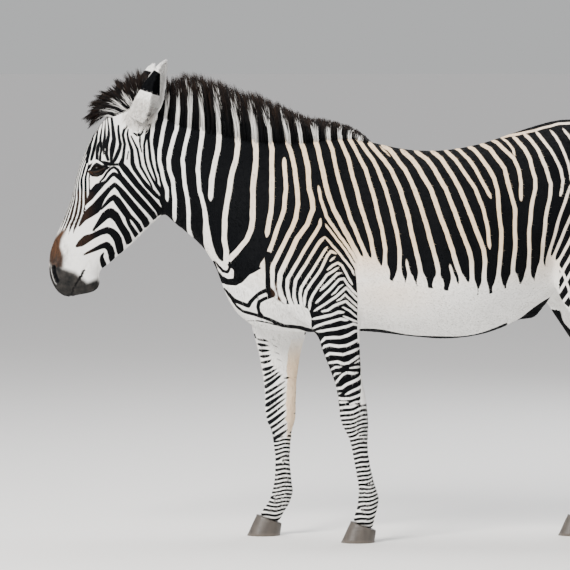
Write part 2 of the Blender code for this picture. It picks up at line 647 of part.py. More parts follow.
def loose_parts(mesh):
    """The separate closed bodies of a mesh, as (points, faces) pairs."""
    parent = list(range(len(mesh.vertices)))

    def root(index):
        while parent[index] != index:
            parent[index] = parent[parent[index]]
            index = parent[index]
        return index

    for edge in mesh.edges:
        first = root(edge.vertices[0])
        second = root(edge.vertices[1])
        if first != second:
            parent[first] = second
    groups = {}
    for face in mesh.polygons:
        groups.setdefault(root(face.vertices[0]), []).append(tuple(face.vertices))
    parts = []
    for faces in groups.values():
        used = sorted({index for face in faces for index in face})
        place_of = {index: new for new, index in enumerate(used)}
        points = [mesh.vertices[index].co.copy() for index in used]
        parts.append((points, [tuple(place_of[index] for index in face) for face in faces]))
    return parts


def centre_of(points):
    low = Vector([min(point[axis] for point in points) for axis in range(3)])
    high = Vector([max(point[axis] for point in points) for axis in range(3)])
    return (low + high) / 2


def name_parts(parts):
    """Gives each node the loose part whose box centre lies nearest the node's own point."""
    named = {}
    free = [part for part in parts if len(part[0]) > FEWEST_POINTS]
    for name, spot in FLESH_NODES.items():
        target = Vector(spot) * CM
        nearest = min(free, key=lambda part: (centre_of(part[0]) - target).length)
        named[name] = nearest
        free = [part for part in free if part is not nearest]
    return named


def hoof(name, toe, heel, offset, half_width, collection):
    """A hoof wall: flat below, flared to the ground, with its rim falling from toe to heel."""
    angle = np.arange(HOOF_POINTS) * math.tau / HOOF_POINTS
    lengthwise = -np.sign(np.cos(angle)) * np.abs(np.cos(angle)) ** (2.0 / HOOF_ROUND)
    across = np.sign(np.sin(angle)) * np.abs(np.sin(angle)) ** (2.0 / HOOF_ROUND)
    heel_pinch = 1.0 - HEEL_PINCH * np.clip(lengthwise, 0.0, 1.0)
    rings = []
    for share in (0.0, 0.5, 1.0):
        front = toe + HOOF_TOE_RUN * share
        back = heel + HOOF_HEEL_RUN * share
        width = half_width * (1.0 - (1.0 - HOOF_TOP_WIDTH_SHARE) * share)
        middle = (front + back) / 2
        ring = np.empty((HOOF_POINTS, 3))
        ring[:, 0] = middle + lengthwise * (back - front) / 2
        ring[:, 1] = offset + across * width * heel_pinch
        rim = HOOF_TOE_HEIGHT + (HOOF_HEEL_HEIGHT - HOOF_TOE_HEIGHT) * (lengthwise + 1.0) / 2
        ring[:, 2] = rim * share
        rings.append(ring * CM)
    return place(name, tube(name, rings), collection)


def coronet_cutter(name, toe, heel, offset, collection):
    """Removes all flesh below the sloping rim of one hoof."""
    front = toe + HOOF_TOE_RUN
    back = heel + HOOF_HEEL_RUN
    slope = (HOOF_HEEL_HEIGHT - HOOF_TOE_HEIGHT) / (back - front)
    gap = PART_GAP / CM
    corners = []
    for x in (front - CORONET_MARGIN, back + CORONET_MARGIN):
        top = HOOF_TOE_HEIGHT + slope * (x - front) + gap
        for y in (offset - 1.5 * CORONET_MARGIN, offset + 1.5 * CORONET_MARGIN):
            corners.append((x * CM, y * CM, CORONET_DEPTH * CM))
            corners.append((x * CM, y * CM, top * CM))
    faces = [(0, 1, 3, 2), (4, 6, 7, 5), (0, 4, 5, 1), (2, 3, 7, 6), (1, 5, 7, 3), (0, 2, 6, 4)]
    return helper(name, mesh_from(name, corners, faces), collection)


def eye_ball(name, side, extra, collection, hidden):
    work = bmesh.new()
    bmesh.ops.create_uvsphere(work, u_segments=12, v_segments=8, radius=EYE_RADIUS * CM + extra)
    work.transform(Matrix.Translation(Vector((EYE_CENTRE[0], side * EYE_CENTRE[1], EYE_CENTRE[2])) * CM))
    mesh = bpy.data.meshes.new(name)
    work.to_mesh(mesh)
    work.free()
    if hidden:
        return helper(name, mesh, collection)
    return place(name, mesh, collection)


def largest_body(obj):
    """Keeps only the biggest closed body, dropping slivers that a cut can leave."""
    parts = loose_parts(obj.data)
    points, faces = max(parts, key=lambda part: len(part[0]))
    obj.data = mesh_from(obj.name, points, faces)


def build():
    clear_scene()
    zebra = new_collection("zebra")
    workshop = new_collection("workshop")
    flesh = fused_flesh(workshop)
    keep_clear = grown_copy(flesh, "flesh_clearance", HAIR_GAP, workshop)

    hair_nodes = []
    for name, sections, steps, count in (
        ("mane", MANE, 2, 8),
        ("forelock", FORELOCK, 2, 8),
        ("tail_tuft", TAIL_TUFT, 2, 12),
    ):
        node = place(name, hair_loft(name, sections, steps, count), zebra)
        subtract(node, [keep_clear])
        largest_body(node)
        hair_nodes.append(node)

    ear_nodes = []
    for word in EARS:
        node = place("ear_" + word, ear_shell("ear_" + word, word), zebra)
        subtract(node, [keep_clear])
        largest_body(node)
        ear_nodes.append(node)

    cutters = [slab(name, centre, sizes, tilt, workshop) for name, centre, sizes, tilt in PART_CUTS]
    hooves = []
    for name, toe, heel, offset, half_width in HOOVES:
        hooves.append(hoof(name, toe, heel, offset, half_width, zebra))
        cutters.append(coronet_cutter("cut_" + name, toe, heel, offset, workshop))
    eyes = []
    for side, word in ((-1.0, "left"), (1.0, "right")):
        cutters.append(eye_ball("cut_eye_" + word, side, EYE_GAP, workshop, True))
        eyes.append(eye_ball("eye_" + word, side, 0.0, zebra, False))
    subtract(flesh, cutters)

    for name, (points, faces) in name_parts(loose_parts(flesh.data)).items():
        node = place(name, mesh_from(name, points, faces), zebra)
        node.data.materials.append(material("coat_" + name, COAT, COAT_ROUGHNESS))
    for node in ear_nodes:
        node.data.materials.clear()
        node.data.materials.append(material("coat_" + node.name, COAT, COAT_ROUGHNESS))
    for node in hair_nodes:
        node.data.materials.clear()
        node.data.materials.append(material("hair_" + node.name, HAIR, HAIR_ROUGHNESS))
    for node in hooves:
        node.data.materials.append(material("horn_" + node.name, HORN, HORN_ROUGHNESS))
    for node in eyes:
        node.data.materials.append(material("cornea_" + node.name, EYE, EYE_ROUGHNESS))


build()
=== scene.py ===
import math

import bmesh
import bpy
import numpy as np
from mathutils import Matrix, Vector
from mathutils.bvhtree import BVHTree
from mathutils.kdtree import KDTree


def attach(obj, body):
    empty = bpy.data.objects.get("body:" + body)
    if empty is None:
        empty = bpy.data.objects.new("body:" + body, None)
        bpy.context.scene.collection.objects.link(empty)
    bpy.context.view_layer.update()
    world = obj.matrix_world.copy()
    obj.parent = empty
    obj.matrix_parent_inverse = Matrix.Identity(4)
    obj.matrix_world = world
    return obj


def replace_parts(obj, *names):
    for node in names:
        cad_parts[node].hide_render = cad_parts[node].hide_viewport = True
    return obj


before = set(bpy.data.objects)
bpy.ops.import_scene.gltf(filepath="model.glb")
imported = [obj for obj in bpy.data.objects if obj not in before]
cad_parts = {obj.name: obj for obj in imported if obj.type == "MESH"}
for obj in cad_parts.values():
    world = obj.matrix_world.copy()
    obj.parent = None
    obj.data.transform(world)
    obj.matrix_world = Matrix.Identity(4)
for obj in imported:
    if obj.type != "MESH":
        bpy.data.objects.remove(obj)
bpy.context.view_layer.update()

# Lengths are in metres where they meet Blender's data, and in centimetres in the tables and the fields.
CM = 0.01
SKIN_VOXEL = 0.006
# How far the solids are swollen before they are fused, in metres.
SWELL = 0.001
EAR_SWELL = 0.0016
LEGS = tuple(
    f"{leg}_{side}_{part}"
    for leg in ("foreleg", "hindleg") for side in ("left", "right") for part in ("upper", "lower")
)
LOWER_LEGS = tuple(name for name in LEGS if "lower" in name)
EAR_NAMES = ("ear_left", "ear_right")
FLESH = ("head", "neck", "trunk", "tail") + EAR_NAMES + LEGS
NODE_NUMBER = {name: k for k, name in enumerate(FLESH + ("eye_left", "eye_right"))}

# ---------------------------------------------------------------- tables of the markings
# A stroke is a half width, or one for each point, and a centre line of (x, z). A light stroke is drawn on
# black in BODY_STROKES, and a dark one on white in the others.
BODY_STROKES = (
    (0.63, ((-70.6, 157.6), (-71, 149.1), (-73.1, 138.4), (-73.1, 134.9), (-71.7, 127.8), (-70.6,
     124.2), (-70.3, 120))),
    (0.69, ((-66, 161.5), (-67.1, 145.5), (-69.2, 138.4), (-69.9, 134.9), (-69.6, 131.3), (-68.5,
     127.8), (-67.8, 120.7), (-67.8, 112.9))),
    (0.66, ((-61.8, 165.1), (-62.8, 145.5), (-65, 134.9), (-63.9, 124.2), (-63.2, 120.7), (-62.8,
     115.4), (-62.8, 110), (-61.4, 105.8))),
    ((0.75, 0.81, 0.69, 0.66, 0.72, 0.81, 1.5, 1.5, 1), ((-57.5, 164), (-57.5, 149.1), (-59.6, 131.3),
     (-58.9, 124.2), (-57.2, 117.1), (-56.8, 113.6), (-56.1, 105.8), (-55, 101.5), (-52.5, 98))),
    (0.86, ((-52.2, 160.5), (-52.2, 149.1), (-51.8, 145.5), (-52.5, 138.4), (-54.7, 127.8), (-55,
     120))),
    (0.89, ((-45.8, 159.8), (-45.8, 147.3), (-45.4, 140.2), (-46.1, 134.9), (-47.9, 127.8), (-50.1,
     113.6), (-50.1, 106.5), (-49.5, 102.2), (-49.7, 98))),
    (0.92, ((-40.5, 158.7), (-40.5, 147.3), (-39, 138.4), (-39, 134.9), (-40.1, 124.2), (-40.1, 113.6),
     (-40.8, 110), (-42.2, 106.5), (-45.1, 102.9), (-48.6, 99.4), (-52.2, 96.6))),
    (0.81, ((-34.8, 159), (-34.8, 145.5), (-33.4, 138.4), (-33.4, 120.7), (-33.7, 116.4), (-35.3,
     107.2))),
    (0.72, ((-29.1, 135.6), (-28.4, 124.2), (-29.1, 117.1), (-32.7, 106.5), (-35.5, 99.4), (-37.6,
     96.6))),
    (0.75, ((-29.5, 156.2), (-29.5, 145.5), (-27, 138.4), (-25.2, 131.3), (-24.1, 118.9), (-25, 114),
     (-26.4, 110.5), (-30.9, 101.7), (-33, 96.9), (-33.4, 91.6), (-32.8, 88.8), (-31.6, 85.6))),
    (0.83, ((-25.6, 152.7), (-25.2, 148.4), (-23.4, 142), (-22, 138.4), (-20.6, 131.3), (-20.2, 124.2),
     (-19.3, 120.7), (-18.9, 117.1), (-20.9, 111.8), (-24.4, 106.9), (-30.5, 94.1), (-30.9, 90.2),
     (-30.2, 87), (-28.4, 83.8))),
    (0.81, ((-20.2, 151.9), (-19.5, 145.5), (-17, 138.4), (-14.9, 127.8), (-13, 120.7), (-11.7, 117.1),
     (-3.3, 101.4), (-1.1, 96.2))),
    (0.54, ((-17, 125.7), (-16.2, 120.7), (-14.2, 114.6), (-5.3, 101.7), (-2.8, 97.3))),
    (0.59, ((-16.2, 114), (-16.5, 111.5), (-23, 101), (-27.8, 92.5), (-28.1, 89.5), (-27.5, 86.3),
     (-25.9, 82.4))),
    (0.4, ((-14.8, 112.2), (-7, 101.7), (-3.2, 95.5))),
    (0.54, ((-14.8, 107.6), (-16.5, 105.8), (-25, 92.2), (-25.6, 89.1), (-25.6, 86.3), (-24.5, 82))),
    (0.37, ((-14.8, 107.6), (-6.4, 97.6), (-5, 95.6), (-4.3, 93.7))),
    (0.49, ((-13.8, 104.2), (-23, 89.5), (-23.5, 87.3), (-23.3, 84.8), (-22.4, 81.3))),
    (0.47, ((-10.6, 101.4), (-12.6, 102.3), (-13.8, 100.7), (-16.2, 95.9), (-21.3, 88.4), (-22, 85.9),
     (-22, 82.7))),
    (0.42, ((-11, 100.5), (-13.1, 98.6))),
    (0.4, ((-14.2, 95.6), (-12.1, 97.3), (-10.1, 98.3), (-8.7, 97.3), (-5, 90.5))),
    (0.45, ((-9.6, 96.8), (-14.2, 93.9), (-15.9, 91.5), (-18.9, 87.1), (-20, 84.7), (-20.3, 81.6))),
    (0.45, ((-8.7, 94.9), (-10.4, 94.5), (-16.5, 88.3))),
    (0.42, ((-18.2, 84), (-13.5, 88.4), (-9.8, 92.5), (-8.1, 92.9), (-6.4, 90.2), (-3.2, 86.6))),
    (0.37, ((-8.1, 90.8), (-9.8, 89.8), (-11.1, 88.1), (-12.6, 86.9))),
    (0.42, ((-18.8, 81.3), (-11.1, 86.1), (-7.4, 89.5), (-2.8, 84.5))),
    (0.35, ((-10.8, 84.7), (-9.1, 85.7), (-7.7, 87.1), (-2.8, 82.5))),
    (0.45, ((-16.2, 81.2), (-13.8, 81.6), (-11.8, 83), (-7.4, 84.8), (-2.8, 80.8))),
    (0.33, ((-8.9, 82.5), (-8.1, 82.5), (-6.4, 81.6), (-2.8, 78.8))),
    (0.49, ((-19.4, 78.5), (-12.5, 79.9), (-10.1, 80.9), (-7.7, 80.9))),
    (0.35, ((-8.4, 79.6), (-2.8, 77.4))),
    (0.47, ((-19.3, 75), (-17.9, 75.9), (-15.2, 76.9), (-9.1, 78.5), (-6.4, 78.1))),
    (0.45, ((-17.8, 74.2), (-15.2, 74.3), (-9.8, 75.3), (-7, 75.9), (-4.7, 76.9), (-2.7, 76.3))),
    (0.49, ((-16.3, 69.9), (-14.6, 71.8), (-9.1, 72.1), (-6.4, 73), (-4.3, 74.2), (-2.3, 74.5))),
    (0.49, ((-15.8, 67.8), (-14.8, 68.8), (-13.1, 69.4), (-9.8, 69), (-7, 69.2), (-2.1, 71.7))),
    (0.48, ((-15.3, 65), (-13.1, 66.4), (-8.1, 66.1), (-5.3, 66.9), (-2.1, 68.5))),
    (0.46, ((-14.4, 62.7), (-12.5, 63.3), (-10.4, 63.5), (-8.1, 62.7), (-6.4, 63), (-1.8, 65.9))),
    (0.31, ((-4.3, 62.8), (-1.6, 64.3))),
    (0.39, ((-13.1, 60.3), (-11.1, 61.6), (-8.7, 61.7))),
    (0.39, ((-6.2, 61.1), (-1.4, 61.8))),
    (0.43, ((-11.4, 55.2), (-8.4, 58.9), (-7, 59.6), (-5, 59.3), (-2.8, 59.6))),
    (0.36, ((-12.1, 57.9), (-11, 59.1), (-9.1, 59.6))),
    (0.48, ((-11.7, 54.3), (-10.8, 53.8), (-8.7, 54.2), (-7, 55.4), (-2.6, 57.6), (-1.1, 59.3))),
    (0.43, ((-7.7, 51.8), (-3.3, 53.9), (-0.7, 55.7))),
    (0.34, ((-10.6, 51.8), (-8.7, 52.5))),
    (0.43, ((-11, 50.8), (-8.7, 50.3), (-5.7, 50.6), (-2.9, 51.5), (-0.2, 52.9))),
    (0.31, ((-11, 49.5), (-8.9, 49.1), (-6.4, 49.3))),
    (0.34, ((-10.6, 47.5), (-7.7, 47.5), (-3.9, 49.3), (-2.5, 49.5), (-0.2, 50.9))),
    (0.66, ((-15.3, 147), (-12.1, 138.4), (-9.9, 127.8), (-5.7, 113.6), (-0.6, 101.7), (1.8, 95.1))),
    (0.69, ((-11, 146.3), (-6.4, 134.9), (-2.8, 120.7), (1.4, 106.5), (3.9, 94.4))),
    (0.66, ((-7.5, 144.5), (-5.7, 142), (-0.4, 131.3), (1.8, 124.2), (5.3, 110), (6.4, 102.9), (6.4,
     93.7))),
    (0.66, ((-4.3, 143.1), (-2.5, 141.6), (2.1, 134.9), (3.9, 131.3), (6.7, 124.2), (10.3, 110), (11.4,
     102.9), (11.4, 90.9))),
    (0.72, ((0.4, 141.6), (6, 134.9), (8.5, 131.3), (11.7, 124.2), (13.8, 117.1), (19.9, 90.2))),
    (0.23, ((4.6, 139.9), (8.5, 135.6))),
    (0.74, ((5.3, 140.2), (8.2, 138.4), (13.5, 131.3), (16.7, 124.2), (19.2, 117.1), (24.1, 99.4),
     (24.8, 95.8), (25.2, 89.5))),
    (0.46, ((13.8, 99.8), (15.6, 88.8))),
    (0.77, ((12.1, 138.6), (16, 134.9), (18.5, 131.3), (22.4, 124.2), (29.8, 102.9), (31.9, 95.8),
     (33.4, 92.3), (34.1, 88))),
    (0.49, ((28.9, 98), (30.2, 92.3), (30.5, 88))),
    (0.74, ((17, 138.3), (21.3, 134.9), (23.8, 131.3), (27.7, 124.2), (35.5, 102.9), (36.6, 98.7),
     (36.9, 88))),
    (0.74, ((22.7, 138.4), (26.6, 134.9), (32.7, 124.2), (40.8, 102.9), (41.2, 98.7), (40.8, 87.3))),
    (0.61, ((27.3, 138.8), (31.2, 134.9), (38, 124.2), (40.8, 117.1), (42.2, 110), (43, 102.9))),
    (0.59, ((30.9, 139.3), (32.7, 138.4), (35.9, 134.9), (38.3, 131.3), (43.5, 120.7))),
    (0.69, ((35.5, 140.2), (38, 138.4), (43, 131.3), (44.7, 127.8), (45.8, 123.5), (46.1, 117.1), (46.9,
     110), (46.9, 102.9), (46.1, 95.8), (45.8, 88))),
    (0.69, ((39.8, 141.1), (43.7, 138.4), (48.3, 131.3), (51.8, 117.1), (51.8, 102.9), (51.1, 95.8),
     (51.1, 88.8))),
    (0.59, ((44, 142), (46.1, 140.8), (51.8, 134.9), (53.2, 131.3), (54, 126), (54, 119.6))),
    (0.41, ((47.6, 142.7), (49.7, 140.9), (51.5, 138.4), (52.2, 135.6))),
    (0.64, ((51.5, 143.2), (52.9, 142), (55.4, 138.4), (57.2, 134.9), (58.9, 127.8), (58.9, 124.2),
     (57.5, 117.1), (56.8, 110), (56.8, 99.4), (56.4, 89.5))),
    (0.61, ((55.4, 144.1), (57.5, 142), (60, 138.4), (62.8, 131.3), (64.4, 126), (63.9, 120.7), (62.5,
     113.6), (60.7, 92.3))),
    (0.51, ((59.6, 145), (64.3, 138.4), (67.8, 131.3), (68.7, 127.1), (68.2, 123.5), (67.5, 121.4))),
    (0.38, ((64.1, 99.8), (64.6, 93.7))),
    (0.4, ((47.6, 142.7), (55.7, 144.3), (67.5, 147.3), (72.1, 147.7), (77.7, 147.5), (83.8, 146.6),
     (90.2, 144.5), (95.8, 141.3), (100.1, 137.4))),
    (0.4, ((66.4, 98.7), (69.2, 94.1), (72.8, 83.1))),
)
HEAD_STROKES = (
    ((0.39, 0.82, 1, 0.98, 0.39), ((-90.3, 151.6), (-89.1, 142), (-89.4, 140.2), (-89.8, 138.1), (-90.2,
     133.5))),
    ((0.39, 0.51, 0.55, 0.63, 0.7, 0.78, 0.7, 0.39), ((-87.6, 146.8), (-87.6, 145.2), (-87.3, 142.4),
     (-86.8, 140.2), (-87.2, 138.4), (-87.9, 136.7), (-88.8, 134.7), (-90, 133.1))),
    ((0.39, 0.51, 0.55, 0.55, 0.63, 1, 1.2, 1.1, 1.1, 1.2, 1), ((-84.5, 146.6), (-85.6, 145.2), (-86,
     143.4), (-85.3, 140.2), (-85.9, 135.3), (-86.6, 133.1), (-85, 131.2), (-81, 126), (-76.3, 120.7),
     (-73.4, 117.1), (-73.1, 115.7))),
    ((0.31, 0.47, 0.47, 0.39, 0.28), ((-85, 154.8), (-84.5, 155.8), (-83.8, 154.6), (-82.7, 153.4),
     (-81.6, 152.7))),
    ((0.43, 0.55), ((-91.2, 132.9), (-86.6, 133.1))),
    ((0.31, 0.43, 0.47, 0.47, 0.47, 0.59, 0.55), ((-94.1, 126.9), (-92.7, 128.3), (-91.6, 130.1),
     (-90.3, 131.5), (-89.1, 132.1), (-87.8, 131.2), (-86.4, 128.7))),
    ((0.47, 1.1, 1.4, 1.4, 0.7, 0.59, 0.63, 0.74, 1.1, 1.2, 1.1, 0.98), ((-98.9, 119.6), (-97.4, 121.6),
     (-96.2, 123.5), (-94.8, 125.1), (-92.8, 126.4), (-91.6, 127.3), (-90.3, 128.9), (-89.1, 129.8),
     (-86.4, 128), (-81.8, 122.5), (-75.5, 115.4), (-74.9, 114.3))),
    ((0.39, 0.94, 1.7, 1.9, 1.1, 0.86, 0.78, 0.94, 1.2, 1.3, 1.3), ((-101.5, 111.5), (-99.9, 114), (-98,
     115.9), (-95.8, 117.5), (-93.2, 121.4), (-90.9, 124.2), (-88.8, 126), (-87, 124.2), (-85.7, 122.5),
     (-78.5, 113.6), (-77.7, 111.8))),
    ((0.39, 0.86, 1, 1.4, 1.3), ((-93.7, 117.3), (-90.7, 120.5), (-89, 121.6), (-87.9, 120.2), (-84.4,
     115.2))),
    ((1.1, 0.74, 0.74, 0.94), ((-84.4, 115.2), (-84.4, 113.6), (-83.7, 111.8), (-81.5, 108.3))),
    ((0.82, 0.74, 0.86, 0.78), ((-83.8, 115), (-82.3, 113.6), (-80.8, 111.8), (-79.7, 109.7))),
    ((0.39, 1.5, 1.8, 1.7, 1.4, 1.3, 1.4, 1.3), ((-96.6, 109.9), (-92.3, 115), (-90.4, 116.1), (-88.9,
     115), (-87.9, 113.6), (-87, 111.8), (-84.8, 108.3), (-84, 105.8))),
    ((0.55, 1.3, 1.5, 1.1, 1.1, 1.3, 1.4, 1.5, 1.5, 1.4), ((-102.4, 104.3), (-100.8, 105.4), (-99,
     106.8), (-96.9, 107.7), (-94.1, 109.1), (-91.6, 109.9), (-90, 109.3), (-88.8, 108.1), (-87.9,
     106.5), (-87, 102.2))),
    ((0.31, 1, 1.3, 1.3, 1.3, 1.2), ((-100.3, 101.1), (-93.7, 104.2), (-91.8, 104.7), (-90.7, 103.3),
     (-90.2, 101.5), (-90, 99.4))),
    ((0.28, 0.7, 1, 1.1, 0.94), ((-93, 101.9), (-93.7, 100.5), (-93.5, 99), (-93, 97.6), (-92.7,
     96.4))),
    ((0.28, 0.39, 0.47, 0.67, 0.86, 0.82, 0.7, 0.86, 0.86, 0.55), ((-84.1, 145.5), (-84.4, 143.8),
     (-84.1, 142), (-82.8, 138.1), (-82.6, 133.5), (-81.7, 131.3), (-79.3, 127.8), (-77.7, 125.7),
     (-74.4, 122.3), (-72.6, 120.7))),
    (0.26, ((-84, 137.7), (-84.5, 134.9))),
    ((0.28, 0.47, 0.51, 0.43, 0.31), ((-83.1, 143.1), (-80.8, 138.4), (-79.7, 132.4), (-76.1, 126),
     (-75.6, 124.6))),
    ((0.28, 0.51, 0.39, 0.31), ((-77.7, 149.5), (-79.4, 147.5), (-80.4, 145.9), (-80.8, 144.8))),
    ((0.28, 0.43, 0.7, 0.51, 0.28), ((-78.5, 146.1), (-79, 144.8), (-79.8, 143.8), (-80.9, 143.4),
     (-82.2, 144.1))),
    ((0.28, 0.43, 0.31, 0.24), ((-79.9, 143.1), (-80, 141.6), (-79.9, 139.9), (-79.3, 137.4))),
    ((0.86, 0.55, 0.47, 0.47, 0.47, 0.47, 0.47, 0.51, 0.78, 0.86, 0.7), ((-76.9, 147.7), (-77.5, 144.5),
     (-78.5, 139.9), (-78.4, 136.7), (-78, 133.8), (-77.2, 131.3), (-76.1, 128.9), (-75.1, 127.1),
     (-74.1, 125.7), (-73, 124.2), (-71.9, 122.1))),
    ((1.8, 1.3, 1, 0.94, 0.55, 0.59, 0.51, 0.47, 0.39), ((-76.8, 150.2), (-76.9, 148.4), (-77.1, 146.3),
     (-77.2, 143.8), (-77, 142), (-76.3, 134.9), (-75.8, 132.8), (-74.2, 127.8), (-74, 126))),
    ((0.22, 0.43, 0.61, 0.75, 0.68, 0.54, 0.68, 0.54), ((-91.6, 149.8), (-91, 145.5), (-91, 143.4),
     (-91.4, 141.6), (-91.7, 140), (-91.6, 138.4), (-91.8, 136.7), (-91.2, 134.7))),
    ((0.18, 0.54, 0.61, 0.29), ((-92.3, 149.5), (-92.4, 143.1), (-92.7, 140.9), (-92.7, 136.7))),
    ((0.18, 0.57, 0.57, 0.43, 0.54), ((-93.2, 148.4), (-94, 142), (-93.5, 138.4), (-93.9, 136.7), (-94,
     134.5))),
    ((0.29, 0.54, 0.9, 0.7), ((-94.4, 146.6), (-95.1, 144.8), (-95.6, 141.3), (-97.1, 134.9))),
    ((0.29, 0.65, 0.8, 0.65, 0.59), ((-94.3, 141.3), (-94.7, 139.9), (-94.9, 138.4), (-95.1, 136.7),
     (-95.1, 134.5))),
    ((0.29, 0.7, 0.9, 1.3, 1.4, 0.9), ((-95.8, 145.2), (-96.6, 143.4), (-97.1, 141.6), (-97.8, 139.9),
     (-98.1, 138.3), (-98.7, 134.2))),
    ((2, 1.6, 1.4, 1.2, 0.86, 0.7, 0.67, 0.63, 0.55, 0.7, 1.3, 0.86, 0.67), ((-73.3, 151.9), (-73,
     149.1), (-73.5, 145.5), (-74.3, 142), (-74.7, 140.2), (-74.5, 138.4), (-73.6, 131.3), (-72.9,
     129.6), (-72.7, 127.8), (-71.8, 124.2), (-72.1, 120.7), (-71.7, 118.6), (-72.1, 114.7))),
    ((0.7, 1.5, 2, 2.2, 1.9, 0.47), ((-98, 132.2), (-96.9, 132.1), (-95.5, 132.1), (-94.1, 132.2),
     (-92.7, 132.5), (-89.8, 133.2))),
    ((0.55, 1.1, 1.3, 1, 0.47), ((-97.8, 130.3), (-96.6, 129.8), (-95.1, 129.8), (-93.7, 130.1), (-92.3,
     131))),
)
BREAST_STROKES = (
    ((0.28, 0.65, 0.69, 0.74), ((-50.4, 89.5), (-48.3, 86.8), (-46.5, 85), (-41.9, 83.2))),
    ((0.23, 0.46, 0.55, 0.65, 0.6, 0.74, 0.92), ((-47.9, 85.6), (-46.1, 83.1), (-43.7, 81.3), (-34.1,
     78.3), (-29.1, 76.1), (-23.4, 75.4), (-19.5, 74.2))),
    ((0.74, 0.78, 0.69, 0.83), ((-41.7, 83.1), (-41, 84.5), (-38.2, 87.3), (-34.8, 88.8))),
    ((1.2, 0.92, 0.92, 1.4), ((-34.8, 101.2), (-34.9, 97.6), (-34.8, 89.5), (-33.5, 87.3))),
    ((0.55, 0.65, 0.69, 0.69, 0.6, 0.46), ((-33.7, 86.3), (-36, 85.6), (-37.8, 84.5), (-38.3, 82.7),
     (-38, 80.9), (-36.2, 79))),
    ((0.46, 0.83, 1.1, 1.2, 1.3, 1.4), ((-54, 98.7), (-53.1, 95.1), (-51.3, 92.8), (-49, 91.6), (-46.1,
     91.6), (-44, 93.4))),
    ((0.18, 0.46, 0.55, 0.6, 0.55, 0.32), ((-53.6, 99), (-52.2, 97.1), (-50.6, 95.5), (-49, 95.1),
     (-48.4, 96.6), (-48.5, 98.7))),
    ((0.14, 0.23, 0.28, 0.14), ((-44.7, 77.7), (-39, 77.9), (-34.1, 77), (-29.1, 75.6))),
)
BREAST_AREA = (
    (-36.9, 96.4), (-41.2, 94.1), (-44, 91.2), (-46.1, 90.2), (-49.7, 90.7), (-54, 92.3), (-58.9, 85.2),
    (-50.1, 69.2), (-36.9, 66.7), (-19.5, 72.8), (-19.5, 78.8), (-20.6, 82), (-23.4, 83.4), (-28.8,
    83.8), (-32.7, 86.3), (-33.7, 88.8), (-33.7, 98.7), (-35.5, 98.7),
)
NOSE_BROWN_AREA = (
    (-105.8, 110.9), (-108.3, 110), (-110.8, 107.2), (-112.7, 102.9), (-112.7, 98.7), (-111.5, 96.6),
    (-109.3, 95.8), (-107.2, 96.6), (-106.9, 100.8), (-108.1, 104), (-107.7, 106.5), (-106.5, 109),
)
BREAST_BROWN_AREA = (
    (-34.1, 90.9), (-30.9, 91.9), (-28.8, 86.3), (-28.4, 81.6), (-31.6, 83.4), (-33.7, 87),
)
MUZZLE_DARK_AREA = (
    (-111.8, 98), (-109.7, 98.3), (-107.2, 96.6), (-102.9, 95.1), (-98.7, 91.6), (-95.1, 93), (-93.4,
    90.2), (-95.5, 86.6), (-99.8, 84.1), (-105.1, 83.8), (-109.3, 85.6), (-112.2, 89.5), (-113.2, 93.7),
    (-112.9, 96.9),
)
EAR_PATCH_AREA = (
    (-80.4, 159.6), (-74.9, 166.3), (-72.8, 165.1), (-73, 157.3), (-77.9, 158.6),
)
THROAT_AREA = (
    (-57.5, 98.7), (-54.7, 101.5), (-46.9, 95.8), (-46.9, 92.3), (-50.4, 92.7), (-53.2, 95.1),
)
BELLY_LINE = (
    (-5, 98.7), (-1.4, 96.6), (1.4, 95.8), (5, 93.7), (13.5, 89.8), (17.4, 90.2), (28, 88.4), (35.1,
    88.4), (38.3, 87), (43, 87.3), (53.2, 90.9), (58.2, 91.2), (62.1, 94.4), (66, 96.6), (68.9, 90.5),
)
# The far foreleg's dark stripes, as fans: half widths taken in turn, the places of the key lines among
# the strokes, and those lines.
FAR_LEG_FANS = (
    (((0.61, 0.61, 0.46, 0.18),), (0, 5), (
        ((-39.9, 74.2), (-38.2, 73.3), (-36.4, 72.6), (-34.6, 71.7)),
        ((-37.6, 62.8), (-35.9, 62.9), (-34.1, 63.4), (-33.4, 64.3)),
    )),
    (((0.67, 0.79, 0.67, 0.37), (0.46, 0.58, 0.52, 0.27), (0.46, 0.58, 0.52, 0.27)), (0, 3, 4, 8, 12), (
        ((-37.1, 60.3), (-36.4, 60.3), (-34.9, 60.6), (-32.3, 61.8)),
        ((-36.7, 53.7), (-35.6, 54.2), (-33.3, 55.8), (-29.5, 58.8)),
        ((-36.6, 51.5), (-35.3, 52.0), (-32.7, 53.6), (-28.4, 56.4)),
        ((-36.1, 42.7), (-34.9, 43.3), (-32.4, 45.1), (-28.4, 48.3)),
        ((-35.6, 33.9), (-34.4, 34.5), (-31.8, 36.1), (-27.7, 39.0)),
    )),
    ((0.55,), (0,), (((-29.1, 57.2), (-27.0, 57.5)),)),
    ((0.37, 0.4, 0.46, 0.46, 0.49, 0.49), (0, 2, 5), (
        ((-24.5, 58.7), (-23.1, 58.7)),
        ((-25.2, 52.2), (-23.8, 52.2)),
        ((-25.9, 40.8), (-24.1, 40.8)),
    )),
    ((0.21,), (0, 3), (((-34.1, 71.7), (-31.9, 70.6)), ((-31.9, 64.4), (-29.8, 63.2)))),
)
